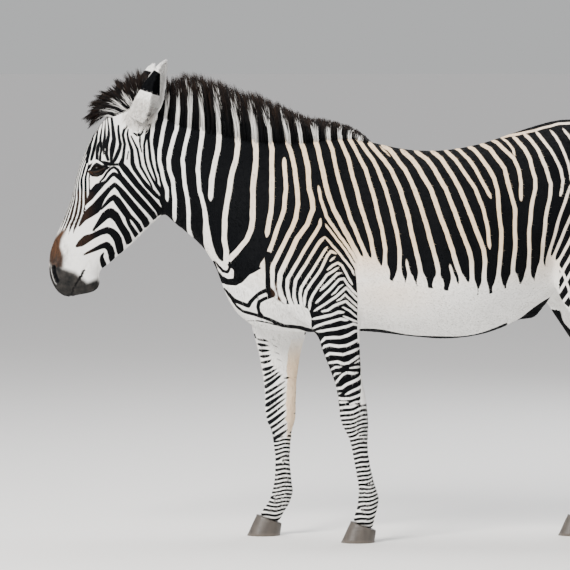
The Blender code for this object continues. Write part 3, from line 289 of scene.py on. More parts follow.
# Pairs of rows for np.interp: levels or places, then the value at each.
HEAD_EDGE = (
    (100, 117, 120.7, 124.2, 127.8, 131.3, 134.9, 138, 142, 149, 151, 168),
    (-72.8, -72.2, -72.1, -71.8, -72.7, -73.6, -74.1, -74.5, -74.3, -73, -73.3, -72),
)
FACE_MIDDLE = (
    (106, 110, 115, 120, 125, 130, 135, 140, 145, 150),
    (-110.9, -109.2, -107.0, -105.1, -103.7, -102.5, -100.9, -98.9, -96.2, -92.5),
)
FACE_EDGE = (
    (109, 113, 119, 124, 130, 135, 138.5, 142, 145.5, 149),
    (-103, -101.0, -99.0, -97.6, -97.6, -98.2, -98.2, -96.6, -95.0, -93),
)
FACE_PITCH = 1.45
FACE_DARK_SHARE = 0.33
LEG_SHIFT = ((50, 60, 75, 85, 95, 105, 116), (23.5, 22.5, 17.0, 11.0, 6.0, 2.0, 0.0))
RUMP_TOP = ((64, 77, 84, 90, 96, 100), (145.2, 147.2, 146.3, 144.2, 141.0, 137.0))
RUMP_FRONT = (
    (56.8, 61.4, 66.7, 73.1, 79.9, 86.6, 94.0, 104.0),
    (90.0, 86.6, 82.0, 77.0, 72.3, 68.3, 65.4, 64.0),
)
BELLY_FRONT = ((84, 92, 98, 104), (-3.2, -3.4, -4.2, -5.6))
BELLY_REAR = 67.5
# Rings of the legs and tail: a start for their wander, the places where one forks, their spacing at the
# coronet, the knee and the top, and their lean.
LEG_BANDS = {
    "foreleg_left_lower": (0.0, ((-3.0, 38.0), (0.5, 21.0), (-2, 12.0)), (1.55, 1.6, 2.6), 0.22),
    "foreleg_right_lower": (1.7, ((-29.0, 40.0), (-30.0, 27.0), (-33.0, 14.0)), (1.55, 1.6, 2.6), 0.10),
    "foreleg_right_upper": (3.1, ((-36.0, 66.0), (-26.0, 58.0), (-33.0, 50.0)), (1.55, 1.7, 2.9), 0.22),
    "hindleg_left_lower": (0.6, ((100.0, 44.0), (97.0, 31.0), (99.0, 18.0)), (1.6, 1.9, 2.9), 0.10),
    "hindleg_right_lower": (2.2, ((90.0, 42.0), (85.0, 29.0), (83.0, 17.0)), (1.6, 1.9, 2.9), 0.10),
    "hindleg_left_upper": (4.0, ((88.0, 70.0), (95.0, 60.0)), (1.6, 2.0, 3.0), 0.30),
    "hindleg_right_upper": (5.2, ((80.0, 72.0), (86.0, 62.0)), (1.6, 2.0, 3.0), 0.30),
    "tail": (1.0, ((107.0, 118.0),), (1.6, 1.6, 1.7), 0.0),
}
BAND_LEVELS = (0, 20, 45, 62, 85)

# ---------------------------------------------------------------- places of the head's parts
EYE_CENTRE = (-94.7, 8.55, 131.9)
EYE_RADIUS = 2.45
EYE_OUT = np.array((-0.25, -0.95, 0.13)) / np.linalg.norm((-0.25, -0.95, 0.13))
EYE_SLIT = np.cross(EYE_OUT, np.cross((0.982, 0.0, 0.19), EYE_OUT))
EYE_SLIT = EYE_SLIT / np.linalg.norm(EYE_SLIT)
EYE_UP = np.cross(EYE_SLIT, EYE_OUT)
EYE_UP = EYE_UP * np.sign(EYE_UP[2])
EYE_HALF = 2.7
UPPER_LID = 1.15
LOWER_LID = 0.4
LID_THICKNESS = 0.27
NOSTRIL = ((-110.6, 97.0), (-110.4, 95.4), (-109.9, 93.6), (-109.3, 92.2))
MOUTH = ((-105.4, 84.0), (-104.4, 87.6), (-103.0, 90.6), (-101.2, 93.6), (-99.8, 96.2))
# Foot, tip and the way its hollow opens, for each ear.
EARS = {
    "ear_left": ((-80.4, -6.6, 149.0), (-70.2, -9.0, 170.4), (0.86, -0.46, -0.10)),
    "ear_right": ((-81.6, 6.6, 149.5), (-75.0, 8.8, 168.8), (0.88, 0.42, -0.10)),
}
# Front outline of the face in metres: x, then z.
PROFILE = (
    (-1.079, -1.115, -1.127, -1.1, -1.058, -1.031, -0.995, -0.963, -0.922, -0.873),
    (0.866, 0.912, 0.994, 1.086, 1.182, 1.279, 1.386, 1.448, 1.501, 1.544),
)

# Forms that stand out or sink in: a line of (x, z), the height and the width.
HEAD_FORMS = (
    (((-93.0, 126.5), (-96.0, 121.0), (-100.0, 114.0)), 0.28, 0.9),
    (((-88.0, 137.0), (-89.5, 138.8)), -0.35, 1.1),
    (((-99.0, 112.5), (-95.0, 107.0), (-93.2, 101.0)), -0.12, 0.5),
    (((-76.5, 133.0), (-75.5, 124.0), (-78.5, 117.5)), -0.25, 0.9),
    (((-100.5, 129.0), (-104.0, 118.0), (-108.3, 104.0)), 0.15, 0.6),
    (((-99.5, 96.6), (-98.4, 98.4)), -0.16, 0.3),
    (((-107.2, 99.2), (-105.3, 95.2), (-105.2, 91.0)), -0.16, 0.6),
)
BODY_FORMS = (
    (((-38.5, 128.0), (-40.0, 116.0), (-39.0, 104.0), (-33.0, 96.5)), -0.45, 1.6),
    (((-52.0, 99.5), (-46.0, 93.0), (-39.0, 88.5)), -0.28, 0.7),
    (((-50.0, 103.0), (-43.0, 97.0), (-35.0, 92.5)), -0.22, 0.6),
    (((-7.0, 112.0), (-3.0, 103.0), (-3.5, 95.0)), -0.55, 1.3),
    (((-15.5, 94.0), (-8.0, 91.5), (-2.5, 94.0)), -0.25, 0.8),
    (((-13.0, 86.0), (-8.5, 77.0), (-6.5, 66.0)), -0.35, 0.9),
    (((-18.5, 84.0), (-13.5, 74.0), (-10.5, 62.0)), -0.20, 0.7),
    (((61.0, 108.0), (66.0, 98.0), (70.0, 88.0)), -0.55, 1.6),
    (((75.0, 98.0), (86.0, 84.0), (92.0, 70.0)), -0.35, 1.5),
    (((-30.0, 136.0), (-20.0, 128.0), (-9.0, 116.0)), -0.25, 2.0),
    (((-22.0, 132.0), (-13.0, 122.0), (-6.0, 112.0)), 0.25, 1.6),
)
RIB_SPACING = 4.6

# ---------------------------------------------------------------- shapes of the long hair
MANE_TOP = (
    (-80, -77.3, -73.4, -69, -63.5, -57.9, -51.8, -44.7, -36.9, -29.8, -24.1, -19.2, -12.8, -6.7, -1.8, 1),
    (167, 167, 165.6, 165.2, 167.4, 167, 165, 162.4, 160.4, 157.4, 153.6, 151.4, 149.8, 147.8, 144.6, 142),
)
MANE_HALF = ((-80, -69, -52, -37, -19, -7, 1), (1.5, 2.4, 2.7, 2.7, 2.4, 1.9, 0.9))
MANE_BANDS = (
    (-72.4, 0.9), (-67.8, 1.0), (-62.8, 0.9), (-57.8, 1.0), (-51.6, 1.1), (-45.4, 1.1), (-39.6, 1.0),
    (-33.9, 1.0), (-28.3, 1.0), (-23.3, 0.9), (-17.8, 0.9), (-13.2, 0.8), (-8.6, 0.8),
    (-5.0, 0.7), (-1.6, 0.6),
)
MANE_RISE = (
    (-80, -74, -68, -62, -57, -40, -24, -6, 0),
    (0.15, 0.15, 0.16, 0.08, 0.0, 0.0, -0.08, -0.12, 0.1),
)
MANE_LEAN = ((-80, -70, -62, -57, -20, -9, 0), (0.05, 0.02, -0.05, -0.14, -0.20, 0.02, 0.35))
# Three rows each: share of the way from the brow to the poll, then x and z.
FORELOCK_ROOT = (
    (0, 0.25, 0.5, 0.75, 1),
    (-92.5, -89.0, -85.5, -82.0, -78.0),
    (145.8, 148.4, 150.2, 151.2, 150.6),
)
FORELOCK_TIP = (
    (0, 0.12, 0.3, 0.45, 0.6, 0.75, 0.9, 1),
    (-99.0, -101.0, -99.8, -96.0, -90.5, -85.0, -80.5, -77.5),
    (145.6, 149.0, 154.0, 159.2, 163.4, 166.6, 167.8, 167.0),
)
# Levels of the tail's brush, then its middle in x and its half width.
TAIL_SHAPE = (
    (51.5, 59, 68, 78, 86.5, 91.4, 98, 104),
    (106.8, 107.0, 107.2, 107.4, 107.5, 107.6, 107.2, 106.2),
    (1.3, 2.7, 3.7, 3.7, 2.6, 1.7, 1.4, 1.3),
)
# Length and width of the short tufts, where they aren't 0.9 by 0.15.
TUFT_SIZES = (
    (("head",), 0.7, 0.11), (LOWER_LEGS, 0.7, 0.12), (EAR_NAMES, 0.9, 0.14),
    (("neck",), 0.85, 0.13), (("tail",), 1.6, 0.2),
)
# The lie of the coat, back and down, where it isn't as on a leg.
FLOW = {
    "trunk": (1.0, 0.0, -0.35), "neck": (0.75, 0.0, -0.7), "head": (-0.25, 0.0, -0.95),
    "tail": (0.1, 0.0, -1.0),
    "ear_left": (0.43, -0.10, 0.90), "ear_right": (0.33, 0.10, 0.94),
}
HAIRS = {"mane": 11800, "forelock": 5200, "tail_tuft": 5200}
TUFT_PATCH = 0.003

# ---------------------------------------------------------------- colours
WHITE = (0.93, 0.925, 0.90)
CREAM = (0.84, 0.63, 0.41)
BLACK = (0.0018, 0.0022, 0.0030)
BROWN = (0.085, 0.040, 0.021)
MUZZLE = (0.013, 0.0135, 0.0135)
# Grey of the ears: part grey inner hair, part painted shade in their hollows and at their feet.
GREY_AND_SHADE = (0.42, 0.43, 0.45)


# ---------------------------------------------------------------- meshes as arrays
def arrays_of(mesh):
    """The vertices and the triangles of a mesh, with vertices at the same place joined."""
    mesh.calc_loop_triangles()
    points = np.empty(len(mesh.vertices) * 3, np.float32)
    mesh.vertices.foreach_get("co", points)
    faces = np.empty(len(mesh.loop_triangles) * 3, np.int32)
    mesh.loop_triangles.foreach_get("vertices", faces)
    points = points.reshape(-1, 3).astype(float)
    _, first, back = np.unique(np.round(points, 6), axis=0, return_index=True, return_inverse=True)
    return points[first], back.reshape(-1)[faces].reshape(-1, 3)


def normals_of(points, faces):
    """Unit normals of the vertices, each the mean of its faces' by area."""
    corner = points[faces]
    across = np.cross(corner[:, 1] - corner[:, 0], corner[:, 2] - corner[:, 0])
    total = np.zeros_like(points)
    for k in range(3):
        for axis in range(3):
            total[:, axis] += np.bincount(faces[:, k], across[:, axis], len(points))
    return total / np.maximum(np.linalg.norm(total, axis=1), 1e-12)[:, None]


def quick_mesh(name, points, triangles):
    """A mesh made at once from arrays of points and triangles."""
    mesh = bpy.data.meshes.new(name)
    mesh.vertices.add(len(points))
    mesh.vertices.foreach_set("co", points.astype(np.float32).ravel())
    mesh.loops.add(triangles.size)
    mesh.loops.foreach_set("vertex_index", triangles.astype(np.int32).ravel())
    mesh.polygons.add(len(triangles))
    mesh.polygons.foreach_set("loop_start", np.arange(0, triangles.size, 3, dtype=np.int32))
    mesh.update(calc_edges=True)
    return mesh


def add_values(mesh, values):
    """Stores a number at each point under each name."""
    for name, value in values.items():
        mesh.attributes.new(name, "FLOAT", "POINT").data.foreach_set("value", value.astype(np.float32))


def shown(name, mesh, material):
    """A smooth piece of the model that moves with the one body."""
    piece = bpy.data.objects.new(name, mesh)
    bpy.context.scene.collection.objects.link(piece)
    mesh.materials.append(material)
    mesh.polygons.foreach_set("use_smooth", [True] * len(mesh.polygons))
    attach(piece, "root")
    return piece


class Net:
    """The neighbours of each vertex of a mesh, ready for smoothing."""

    def __init__(self, faces, count):
        ends = np.concatenate([faces[:, [k, (k + 1) % faces.shape[1]]] for k in range(faces.shape[1])])
        ends = np.unique(np.sort(ends, axis=1), axis=0)
        both = np.concatenate([ends, ends[:, ::-1]])
        both = both[np.argsort(both[:, 0], kind="stable")]
        self.other = both[:, 1]
        self.start = np.searchsorted(both[:, 0], np.arange(count))
        self.share = 1.0 / np.maximum(np.bincount(both[:, 0], minlength=count), 1)

    def mean(self, values):
        """The mean of each vertex's neighbours."""
        total = np.add.reduceat(values[self.other], self.start, axis=0)
        return total * (self.share[:, None] if values.ndim == 2 else self.share)

    def smooth(self, values, rounds, pull=0.5):
        """Draws each value towards its neighbours' mean, by the share pull, once a round."""
        pull = pull[:, None] if values.ndim == 2 and np.ndim(pull) else pull
        for _ in range(rounds):
            values = values + (self.mean(values) - values) * pull
        return values


# ---------------------------------------------------------------- skin
def fused_flesh():
    """One closed surface over the flesh nodes and the eyeballs, at an even mesh size, with its sources."""
    points, faces, names, count = [], [], [], 0
    for name in FLESH + ("eye_left", "eye_right"):
        p, f = arrays_of(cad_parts[name].data)
        p = p + normals_of(p, f) * (EAR_SWELL if name in EAR_NAMES else SWELL)
        points.append(p)
        faces.append(f + count)
        names.append(np.full(len(f), len(names)))
        count += len(p)
    points, faces = np.concatenate(points), np.concatenate(faces)
    mesh = bpy.data.meshes.new("fused")
    mesh.from_pydata(points.tolist(), [], faces.tolist())
    mesh.update()
    solid = bpy.data.objects.new("fused", mesh)
    bpy.context.scene.collection.objects.link(solid)
    remesh = solid.modifiers.new("remesh", "REMESH")
    remesh.mode = "VOXEL"
    remesh.voxel_size = SKIN_VOXEL
    graph = bpy.context.evaluated_depsgraph_get()
    made = bpy.data.meshes.new_from_object(solid.evaluated_get(graph))
    bpy.data.objects.remove(solid)
    return made, points, faces, np.concatenate(names)


def finer(mesh, *regions):
    """Cuts in four the faces in each of the regions, one region after the other."""
    work = bmesh.new()
    work.from_mesh(mesh)
    for inside in regions:
        edges = [e for e in work.edges if inside((e.verts[0].co + e.verts[1].co) / 2)]
        bmesh.ops.subdivide_edges(work, edges=edges, cuts=1, use_grid_fill=True)
    bmesh.ops.triangulate(work, faces=work.faces)
    work.to_mesh(mesh)
    work.free()


def in_head(p):
    """The head, from the ears' feet forward and down."""
    return p.x < -0.66 and p.z > 0.84 and p.z + 0.9 * p.x > 0.31


def on_face(p):
    """The front of the face, the eyes and the muzzle."""
    behind = p.x - np.interp(p.z, PROFILE[1], PROFILE[0])
    muzzle = p.z < 1.0 and behind < 0.2
    eye = 1.26 < p.z < 1.38 and behind < 0.13
    return p.z < 1.50 and in_head(p) and (behind < 0.062 or muzzle or eye)


def on_shoulder(p):
    """The narrow stripes of the shoulder and the upper foreleg."""
    if p.y > 0 and 0.30 < p.z < 0.80:
        return -0.46 < p.x < -0.20
    return -0.30 < p.x < 0.02 and 0.48 < p.z < 1.10 and p.y < -0.10


def nearest_on(solid_points, solid_faces, solid_names, points):
    """The points moved to the nearest place on the solids, and the number of the node that each is on."""
    tree = BVHTree.FromPolygons(solid_points.tolist(), solid_faces.tolist())
    moved = np.empty_like(points)
    labels = np.zeros(len(points), int)
    for i, p in enumerate(points):
        spot, _, face, _ = tree.find_nearest(Vector(p))
        moved[i] = spot
        labels[i] = solid_names[face]
    return moved, labels


def build_skin():
    """The one skin, inside the flesh nodes by the coat's depth, with a tree of it before it is sculpted."""
    made, *solids = fused_flesh()
    finer(made, in_head, on_face, on_shoulder)
    points, faces = arrays_of(made)
    points, labels = nearest_on(*solids, points)
    net = Net(faces, len(points))
    ear = ear_share(points)
    pull = 0.5 - 0.42 * ear
    first = net.smooth(points, 3, pull)
    soft = net.smooth(points, 60, pull)
    shrunk = net.smooth(((first - soft) * normals_of(soft, faces)).sum(1), 90, 0.5)
    soft = soft + normals_of(soft, faces) * shrunk[:, None]
    under = coat_depth(labels) + np.where(ear > 0.5, EAR_SWELL, SWELL)
    soft = soft - normals_of(soft, faces) * net.smooth(under, 12)[:, None]
    plain = tree_of(soft, faces)
    soft = sculpted_head(soft, faces, nostril_slit(plain))
    soft = sculpted_body(soft, faces, labels)
    return soft, faces, net, labels, plain


def coat_depth(labels):
    """How far the skin lies inside the outline of the coat."""
    depth = np.full(len(labels), 0.0032)
    for name, value in (("head", 0.0015), ("tail", 0.002), ("ear_left", 0.0008), ("ear_right", 0.0008)):
        depth[labels == NODE_NUMBER[name]] = value
    depth[np.isin(labels, [NODE_NUMBER[name] for name in LOWER_LEGS])] = 0.0015
    return depth


def ear_share(points):
    """1 on the ears, 0 on the rest, with a short blend at their feet."""
    x, _, z = points.T
    return np.clip((z - 1.52) / 0.02, 0, 1) * np.clip((-0.66 - x) / 0.01, 0, 1)


# ---------------------------------------------------------------- modelled forms
def step(value, low, high):
    """From 0 at low to 1 at high, smoothly."""
    t = np.clip((value - low) / (high - low), 0, 1)
    return t * t * (3 - 2 * t)


def hump(distance, width, centre=0.0):
    """1 at the centre, fading to either side over the width."""
    return np.exp(-(((distance - centre) / width) ** 2))


def tree_of(points, faces):
    """A search tree over a surface, in centimetres."""
    return BVHTree.FromPolygons((points / CM).tolist(), faces.tolist())


def mirrored(points):
    """The points in centimetres, those of the right half turned over onto the left."""
    p = points / CM
    side = np.where(p[:, 1] > 0, -1.0, 1.0)
    p[:, 1] = -np.abs(p[:, 1])
    return p, side


def apart(p, line):
    """Distance from each point to a line of points, in as many coordinates as they have."""
    line = np.array(line, float)
    least = np.full(len(p), 1e9)
    for a, b in zip(line[:-1], line[1:]):
        span = b - a
        t = np.clip((p - a) @ span / (span @ span), 0, 1)
        least = np.minimum(least, np.linalg.norm(p - a - t[:, None] * span, axis=1))
    return least


def round_the_eye(p):
    """For points of the left half: how far outside the lids' opening, height over its slit, distance from
    the globe's middle, whether on the outer side, and the way from the middle."""
    d = p - np.array((EYE_CENTRE[0], -EYE_CENTRE[1], EYE_CENTRE[2]))
    radius = np.linalg.norm(d, axis=1)
    out = np.maximum(d @ EYE_OUT, 0.05)
    u = EYE_RADIUS * np.arctan2(d @ EYE_SLIT, out)
    v = EYE_RADIUS * np.arctan2(d @ EYE_UP, out)
    arch = np.clip(1 - (u / EYE_HALF) ** 2, 0, 1) ** 0.8
    beyond = np.maximum(v - UPPER_LID * arch, -LOWER_LID * arch - v)
    beyond = np.where(np.abs(u) > EYE_HALF, np.hypot(np.maximum(beyond, 0), np.abs(u) - EYE_HALF), beyond)
    return beyond, v, radius, d @ EYE_OUT > 0.2, d


def raised_forms(flat, forms):
    """Height of the forms at each place on the side plane."""
    rise = np.zeros(len(flat))
    for line, height, width in forms:
        rise += height * hump(apart(flat, line), width)
    return rise


def with_eyelids(p):
    """Lids of an even thickness round the globe, sunk inside it where they are open."""
    beyond, height, radius, outer, d = round_the_eye(p)
    lid = EYE_RADIUS + LID_THICKNESS
    crease = np.where(height > 0, -0.14, -0.07) * hump(beyond, 0.13, 0.55)
    brow = np.where(height > 0, 0.22, 0.06) * hump(beyond, 0.4, 1.25)
    wanted = radius + (np.maximum(radius, lid) - radius) * (1 - step(beyond, 0.3, 1.7)) + crease + brow
    wanted = wanted + (EYE_RADIUS - 0.35 - wanted) * (1 - step(beyond, -0.08, 0.10))
    scale = np.where(outer & (radius < 6.0), wanted / np.maximum(radius, 1e-6), 1.0)
    return p + d * (scale - 1)[:, None]


def sculpted_head(points, faces, slit):
    """Lids round each eye, the nostrils, the mouth and the head's smaller forms."""
    p, side = mirrored(points)
    normal = normals_of(points, faces)
    normal[:, 1] *= side
    head = (p[:, 0] < -70) & (p[:, 2] > 84)
    flat = p[:, [0, 2]]
    rise = raised_forms(flat, HEAD_FORMS) * step(-normal[:, 1], 0.1, 0.5)
    mouth = apart(flat, MOUTH)
    rise += 0.10 * hump(mouth, 0.35, 0.7) - 0.50 * hump(mouth, 0.2)
    hole = apart(p, slit)
    rise += 0.34 * hump(hole, 0.42, 1.1) - 1.1 * hump(hole, 0.62)
    p = with_eyelids(p + normal * (rise * head)[:, None])
    p[:, 1] *= side
    return p * CM


def surface_spot(tree, x, z):
    """Where a line straight in from the left side meets the skin, in cm."""
    hit = tree.ray_cast(Vector((x, -60, z)), Vector((0, 1, 0)))[0]
    if hit is None:
        hit = tree.find_nearest(Vector((x, -4, z)))[0]
    return tuple(hit)


def nostril_slit(tree):
    """The nostril's line on the skin."""
    return np.array([surface_spot(tree, x, z) for x, z in NOSTRIL])


def tendons(rise, x, z, mine, knee):
    """A groove and a cord behind the cannon bone and a hollow over the coronet, on one lower leg."""
    level = np.round(z[mine] / 1.5).astype(int)
    front = np.full(level.max() + 1, 1e9)
    rear = np.full(level.max() + 1, -1e9)
    np.minimum.at(front, level, x[mine])
    np.maximum.at(rear, level, x[mine])
    share = (x[mine] - front[level]) / np.maximum(rear[level] - front[level], 1e-6)
    cannon = step(z[mine], 14, 18) * step(-z[mine], 6 - knee, 14 - knee)
    rise[mine] -= 0.22 * cannon * hump(share, 0.12, 0.60)
    rise[mine] += 0.08 * cannon * hump(share, 0.12, 0.80)
    rise[mine] -= 0.12 * hump(z[mine], 1.1, 12.5) * step(share, 0.4, 0.9)


def sculpted_body(points, faces, labels):
    """Muscle edges, skin folds, faint ribs and the tendons of the legs."""
    p, side = mirrored(points)
    normal = normals_of(points, faces)
    x, _, z = p.T
    outer = step(-normal[:, 1] * side, 0.1, 0.5)
    rise = raised_forms(p[:, [0, 2]], BODY_FORMS) * outer * ((x > -62) & (z > 55))
    ribs = (labels == NODE_NUMBER["trunk"]) * step(x, 0, 12) * step(-x, -58, -42) * hump(z, 16, 108)
    rise += 0.07 * ribs * np.cos(2 * math.pi * (x + 0.22 * (z - 100)) / RIB_SPACING)
    for name in LOWER_LEGS:
        mine = np.flatnonzero(labels == NODE_NUMBER[name])
        tendons(rise, x, z, mine, 50 if "fore" in name else 58)
    return points + normal * (rise * CM)[:, None]


# ---------------------------------------------------------------- fields of the markings
def wave(*terms):
    """A sum of sines, from (height, x rate, y rate, z rate, start) for each."""
    def value(x, y, z):
        total = 0.0
        for height, a, b, c, start in terms:
            total = total + height * np.sin(a * x + b * y + c * z + start)
        return total
    return value


WANDER_X = wave((0.06, 0.31, 0.2, 0.47, 0.4), (0.04, 0.9, 0.5, -0.7, 2.0), (0.03, -1.7, 0.8, 1.3, 5.0))
WANDER_Z = wave((0.06, -0.37, 0.25, 0.29, 1.4), (0.04, 0.8, -0.4, 0.9, 3.0), (0.03, 1.5, 0.9, -1.6, 0.5))
FAR_SIDE_X = wave((0.9, 0.05, 0.0, 0.09, 1.0), (0.5, 0.13, 0.0, -0.11, 4.0))
LAYOUT_TILT = math.radians(3.5)
LAYOUT_CENTRE = 90.5
REACH = 3.0


def laid_out(points):
    """Where each point lies on the slightly tilted side plane that the markings are set out on, in cm."""
    x, y, z = (points / CM).T
    raised = (z - LAYOUT_CENTRE) * math.cos(LAYOUT_TILT) - np.abs(y) * math.sin(LAYOUT_TILT)
    return x, LAYOUT_CENTRE + raised


def stroke_field(spot, strokes, taper=1.6, lift=None):
    """Signed distance in centimetres to the nearest stroke, positive inside it."""
    best = np.full(len(spot), -REACH)
    for half, line in strokes:
        line = np.array(line, float)
        half = np.broadcast_to(half, len(line))
        if lift:
            line, half = lift(line, half)
        low, high = line.min(0) - REACH, line.max(0) + REACH
        near = np.flatnonzero((spot > low).all(1) & (spot < high).all(1))
        if not len(near):
            continue
        q = spot[near]
        span = np.diff(line, axis=0)
        length = np.maximum(np.linalg.norm(span, axis=1), 1e-6)
        along = np.concatenate([[0], np.cumsum(length)])
        far = np.full(len(near), -REACH)
        for k in range(len(span)):
            t = np.clip((q - line[k]) @ span[k] / length[k] ** 2, 0, 1)
            width = half[k] + (half[k + 1] - half[k]) * t
            if taper:
                s = along[k] + t * length[k]
                width = width * np.sqrt(np.clip(np.minimum(s, along[-1] - s) / taper, 0.02, 1))
            far = np.maximum(far, width - np.linalg.norm(q - line[k] - t[:, None] * span[k], axis=1))
        best[near] = np.maximum(best[near], far)
    return best


def area_field(spot, outline):
    """Signed distance to a closed outline, positive inside it."""
    outline = np.array(outline, float)
    following = np.roll(outline, -1, axis=0)
    inside = np.zeros(len(spot), bool)
    least = np.full(len(spot), 1e9)
    for (ax, az), (bx, bz) in zip(outline, following):
        span = np.array((bx - ax, bz - az))
        t = np.clip((spot - (ax, az)) @ span / (span @ span), 0, 1)
        least = np.minimum(least, np.hypot(*(spot - (ax, az) - t[:, None] * span).T))
        crosses = (az > spot[:, 1]) != (bz > spot[:, 1])
        level = np.where(bz == az, 1e-9, bz - az)
        inside ^= crosses & (spot[:, 0] < ax + (spot[:, 1] - az) / level * (bx - ax))
    return np.where(inside, least, -least)


def bend(start, pull, end, count=7):
    """Points along a curve from start to end, drawn towards pull."""
    t = np.linspace(0, 1, count)[:, None]
    start, pull, end = map(np.array, (start, pull, end))
    return (1 - t) ** 2 * start + 2 * t * (1 - t) * pull + t ** 2 * end


def rump_strokes():
    """Light strokes of the rump and thigh, each back and down from the croup, then forward to the stifle."""
    strokes = []
    for k in range(14):
        front_z = 98.5 - 3.0 * k
        front_x = np.interp(front_z, *RUMP_FRONT)
        if k < 7:
            turn = (71.7 + 4.95 * k, 126.2 - 0.9 * k)
            top = (64.6 + 4.4 * k, np.interp(64.6 + 4.4 * k, *RUMP_TOP))
            pull = (turn[0] - 1.4, top[1] - 0.35 * (top[1] - turn[1]))
            strokes.append((0.46, bend(top, pull, turn)))
        else:
            turn = (102.5, 120.6 - 4.4 * (k - 6))
        lean = min(k / 7, 1)
        pull = (turn[0] - 4.3 - 8 * lean, turn[1] - (10.5 - 4 * lean))
        strokes.append((0.50, bend(turn, pull, (front_x - 1.5, front_z))))
    return strokes


def fan(halves, places, keys):
    """Strokes that pass evenly through the key lines, which stand at the given places among them."""
    keys = np.array(keys)
    strokes = []
    for k in range(places[-1] + 1):
        line = [[np.interp(k, places, keys[:, i, axis]) for axis in (0, 1)] for i in range(keys.shape[1])]
        strokes.append((halves[k % len(halves)], line))
    return strokes


def band_field(x, y, z, start, forks, spacing, lean):
    """Light rings across a leg or the tail, from one entry of LEG_BANDS."""
    low, middle, high = spacing
    widths = (low, low, middle, high, high)
    flat = z - lean * x + 0.35 * np.sin(0.31 * z + start) + 0.25 * np.sin(0.9 * x + 0.4 * y + start)
    grid = np.linspace(-40, 160, 801)
    rings = np.cumsum(1 / np.interp(grid, BAND_LEVELS, widths)) * 0.25
    phase = np.interp(flat, grid, rings)
    for fork_x, fork_z in forks:
        phase = phase + np.arctan2(z - fork_z, x - fork_x) / (2 * math.pi)
    return (0.215 - np.abs((phase % 1.0) - 0.5)) * np.interp(z, BAND_LEVELS, widths)


class Surface:
    """The skin as a target for the head's strokes, so that they keep their width round the face."""

    def __init__(self, points, faces):
        self.tree = tree_of(points, faces)

    def lift(self, line, half):
        """The stroke's centre line moved straight in onto the skin, with a point every 0.45 cm."""
        length = np.concatenate([[0], np.cumsum(np.hypot(*np.diff(line, axis=0).T))])
        s = np.linspace(0, length[-1], max(2, int(length[-1] / 0.45) + 1))
        x, level, half = (np.interp(s, length, v) for v in (line[:, 0], line[:, 1], half))
        ray = Vector((0, math.cos(LAYOUT_TILT), -math.sin(LAYOUT_TILT)))
        found = []
        for a, b in zip(x, level):
            middle = Vector((a, 0, LAYOUT_CENTRE + (b - LAYOUT_CENTRE) / math.cos(LAYOUT_TILT)))
            hit = self.tree.ray_cast(middle - ray * 100, ray)[0]
            found.append(hit or self.tree.find_nearest(middle)[0])
        return np.array(found), half


def drawn_out(strokes, more):
    """The strokes made longer at both ends."""
    longer = []
    for half, line in strokes:
        line = np.array(line, float)
        first = line[0] + (line[0] - line[1]) * more / np.linalg.norm(line[0] - line[1])
        last = line[-1] + (line[-1] - line[-2]) * more / np.linalg.norm(line[-1] - line[-2])
        half = np.broadcast_to(half, len(line))
        longer.append((np.concatenate([half[:1], half, half[-1:]]), np.vstack([first, line, last])))
    return longer


# ---------------------------------------------------------------- markings
class Skin:
    """Where each point of the skin is, in centimetres, how it faces and which node it belongs to."""

    def __init__(self, points, faces, labels):
        self.x, self.y, self.z = (points / CM).T
        self.points, self.labels = points, labels
        self.normal = normals_of(points, faces)
        self.far = step(self.y, 0, 8)
        self.flat_x, self.flat_z = laid_out(points)
        self.flat = np.stack([self.flat_x, self.flat_z], axis=1)
        self.on_head = (self.flat_x < np.interp(self.flat_z, *HEAD_EDGE)) & (self.z > 84)
        self.inward = -np.sign(self.y) * self.normal[:, 1]

    def on(self, *names):
        return np.isin(self.labels, [NODE_NUMBER[name] for name in names])


def belly_light(skin, above, wx):
    """The plain white belly: what lies below its line, from the elbow to the flank, and the groin."""
    belly = np.minimum(above, wx - np.interp(skin.z, *BELLY_FRONT))
    elbow = skin.on("foreleg_left_upper") & (skin.z > 82)
    belly = np.where((wx < BELLY_REAR) & (skin.on("trunk") | elbow), belly, -REACH)
    groin = (skin.x > 30) & (skin.x < 95) & skin.on("trunk")
    return np.maximum(belly, np.where(groin, (93.5 - skin.z) - (np.abs(skin.y) - 6) * 0.9, -REACH))


def ringed_legs(skin, body):
    """The rings of the legs and the tail, put in place of the trunk's stripes there."""
    for name, band in LEG_BANDS.items():
        mine = skin.on(name)
        if name == "foreleg_left_lower":
            mine = mine | (skin.on("foreleg_left_upper") & (skin.z < 49.3))
        rings = band_field(skin.x[mine], skin.y[mine], skin.z[mine], *band)
        if name.startswith("hindleg") and name.endswith("upper"):
            rings = np.where(step(skin.z[mine], 62, 68) > 0.5, body[mine], rings)
        body[mine] = rings


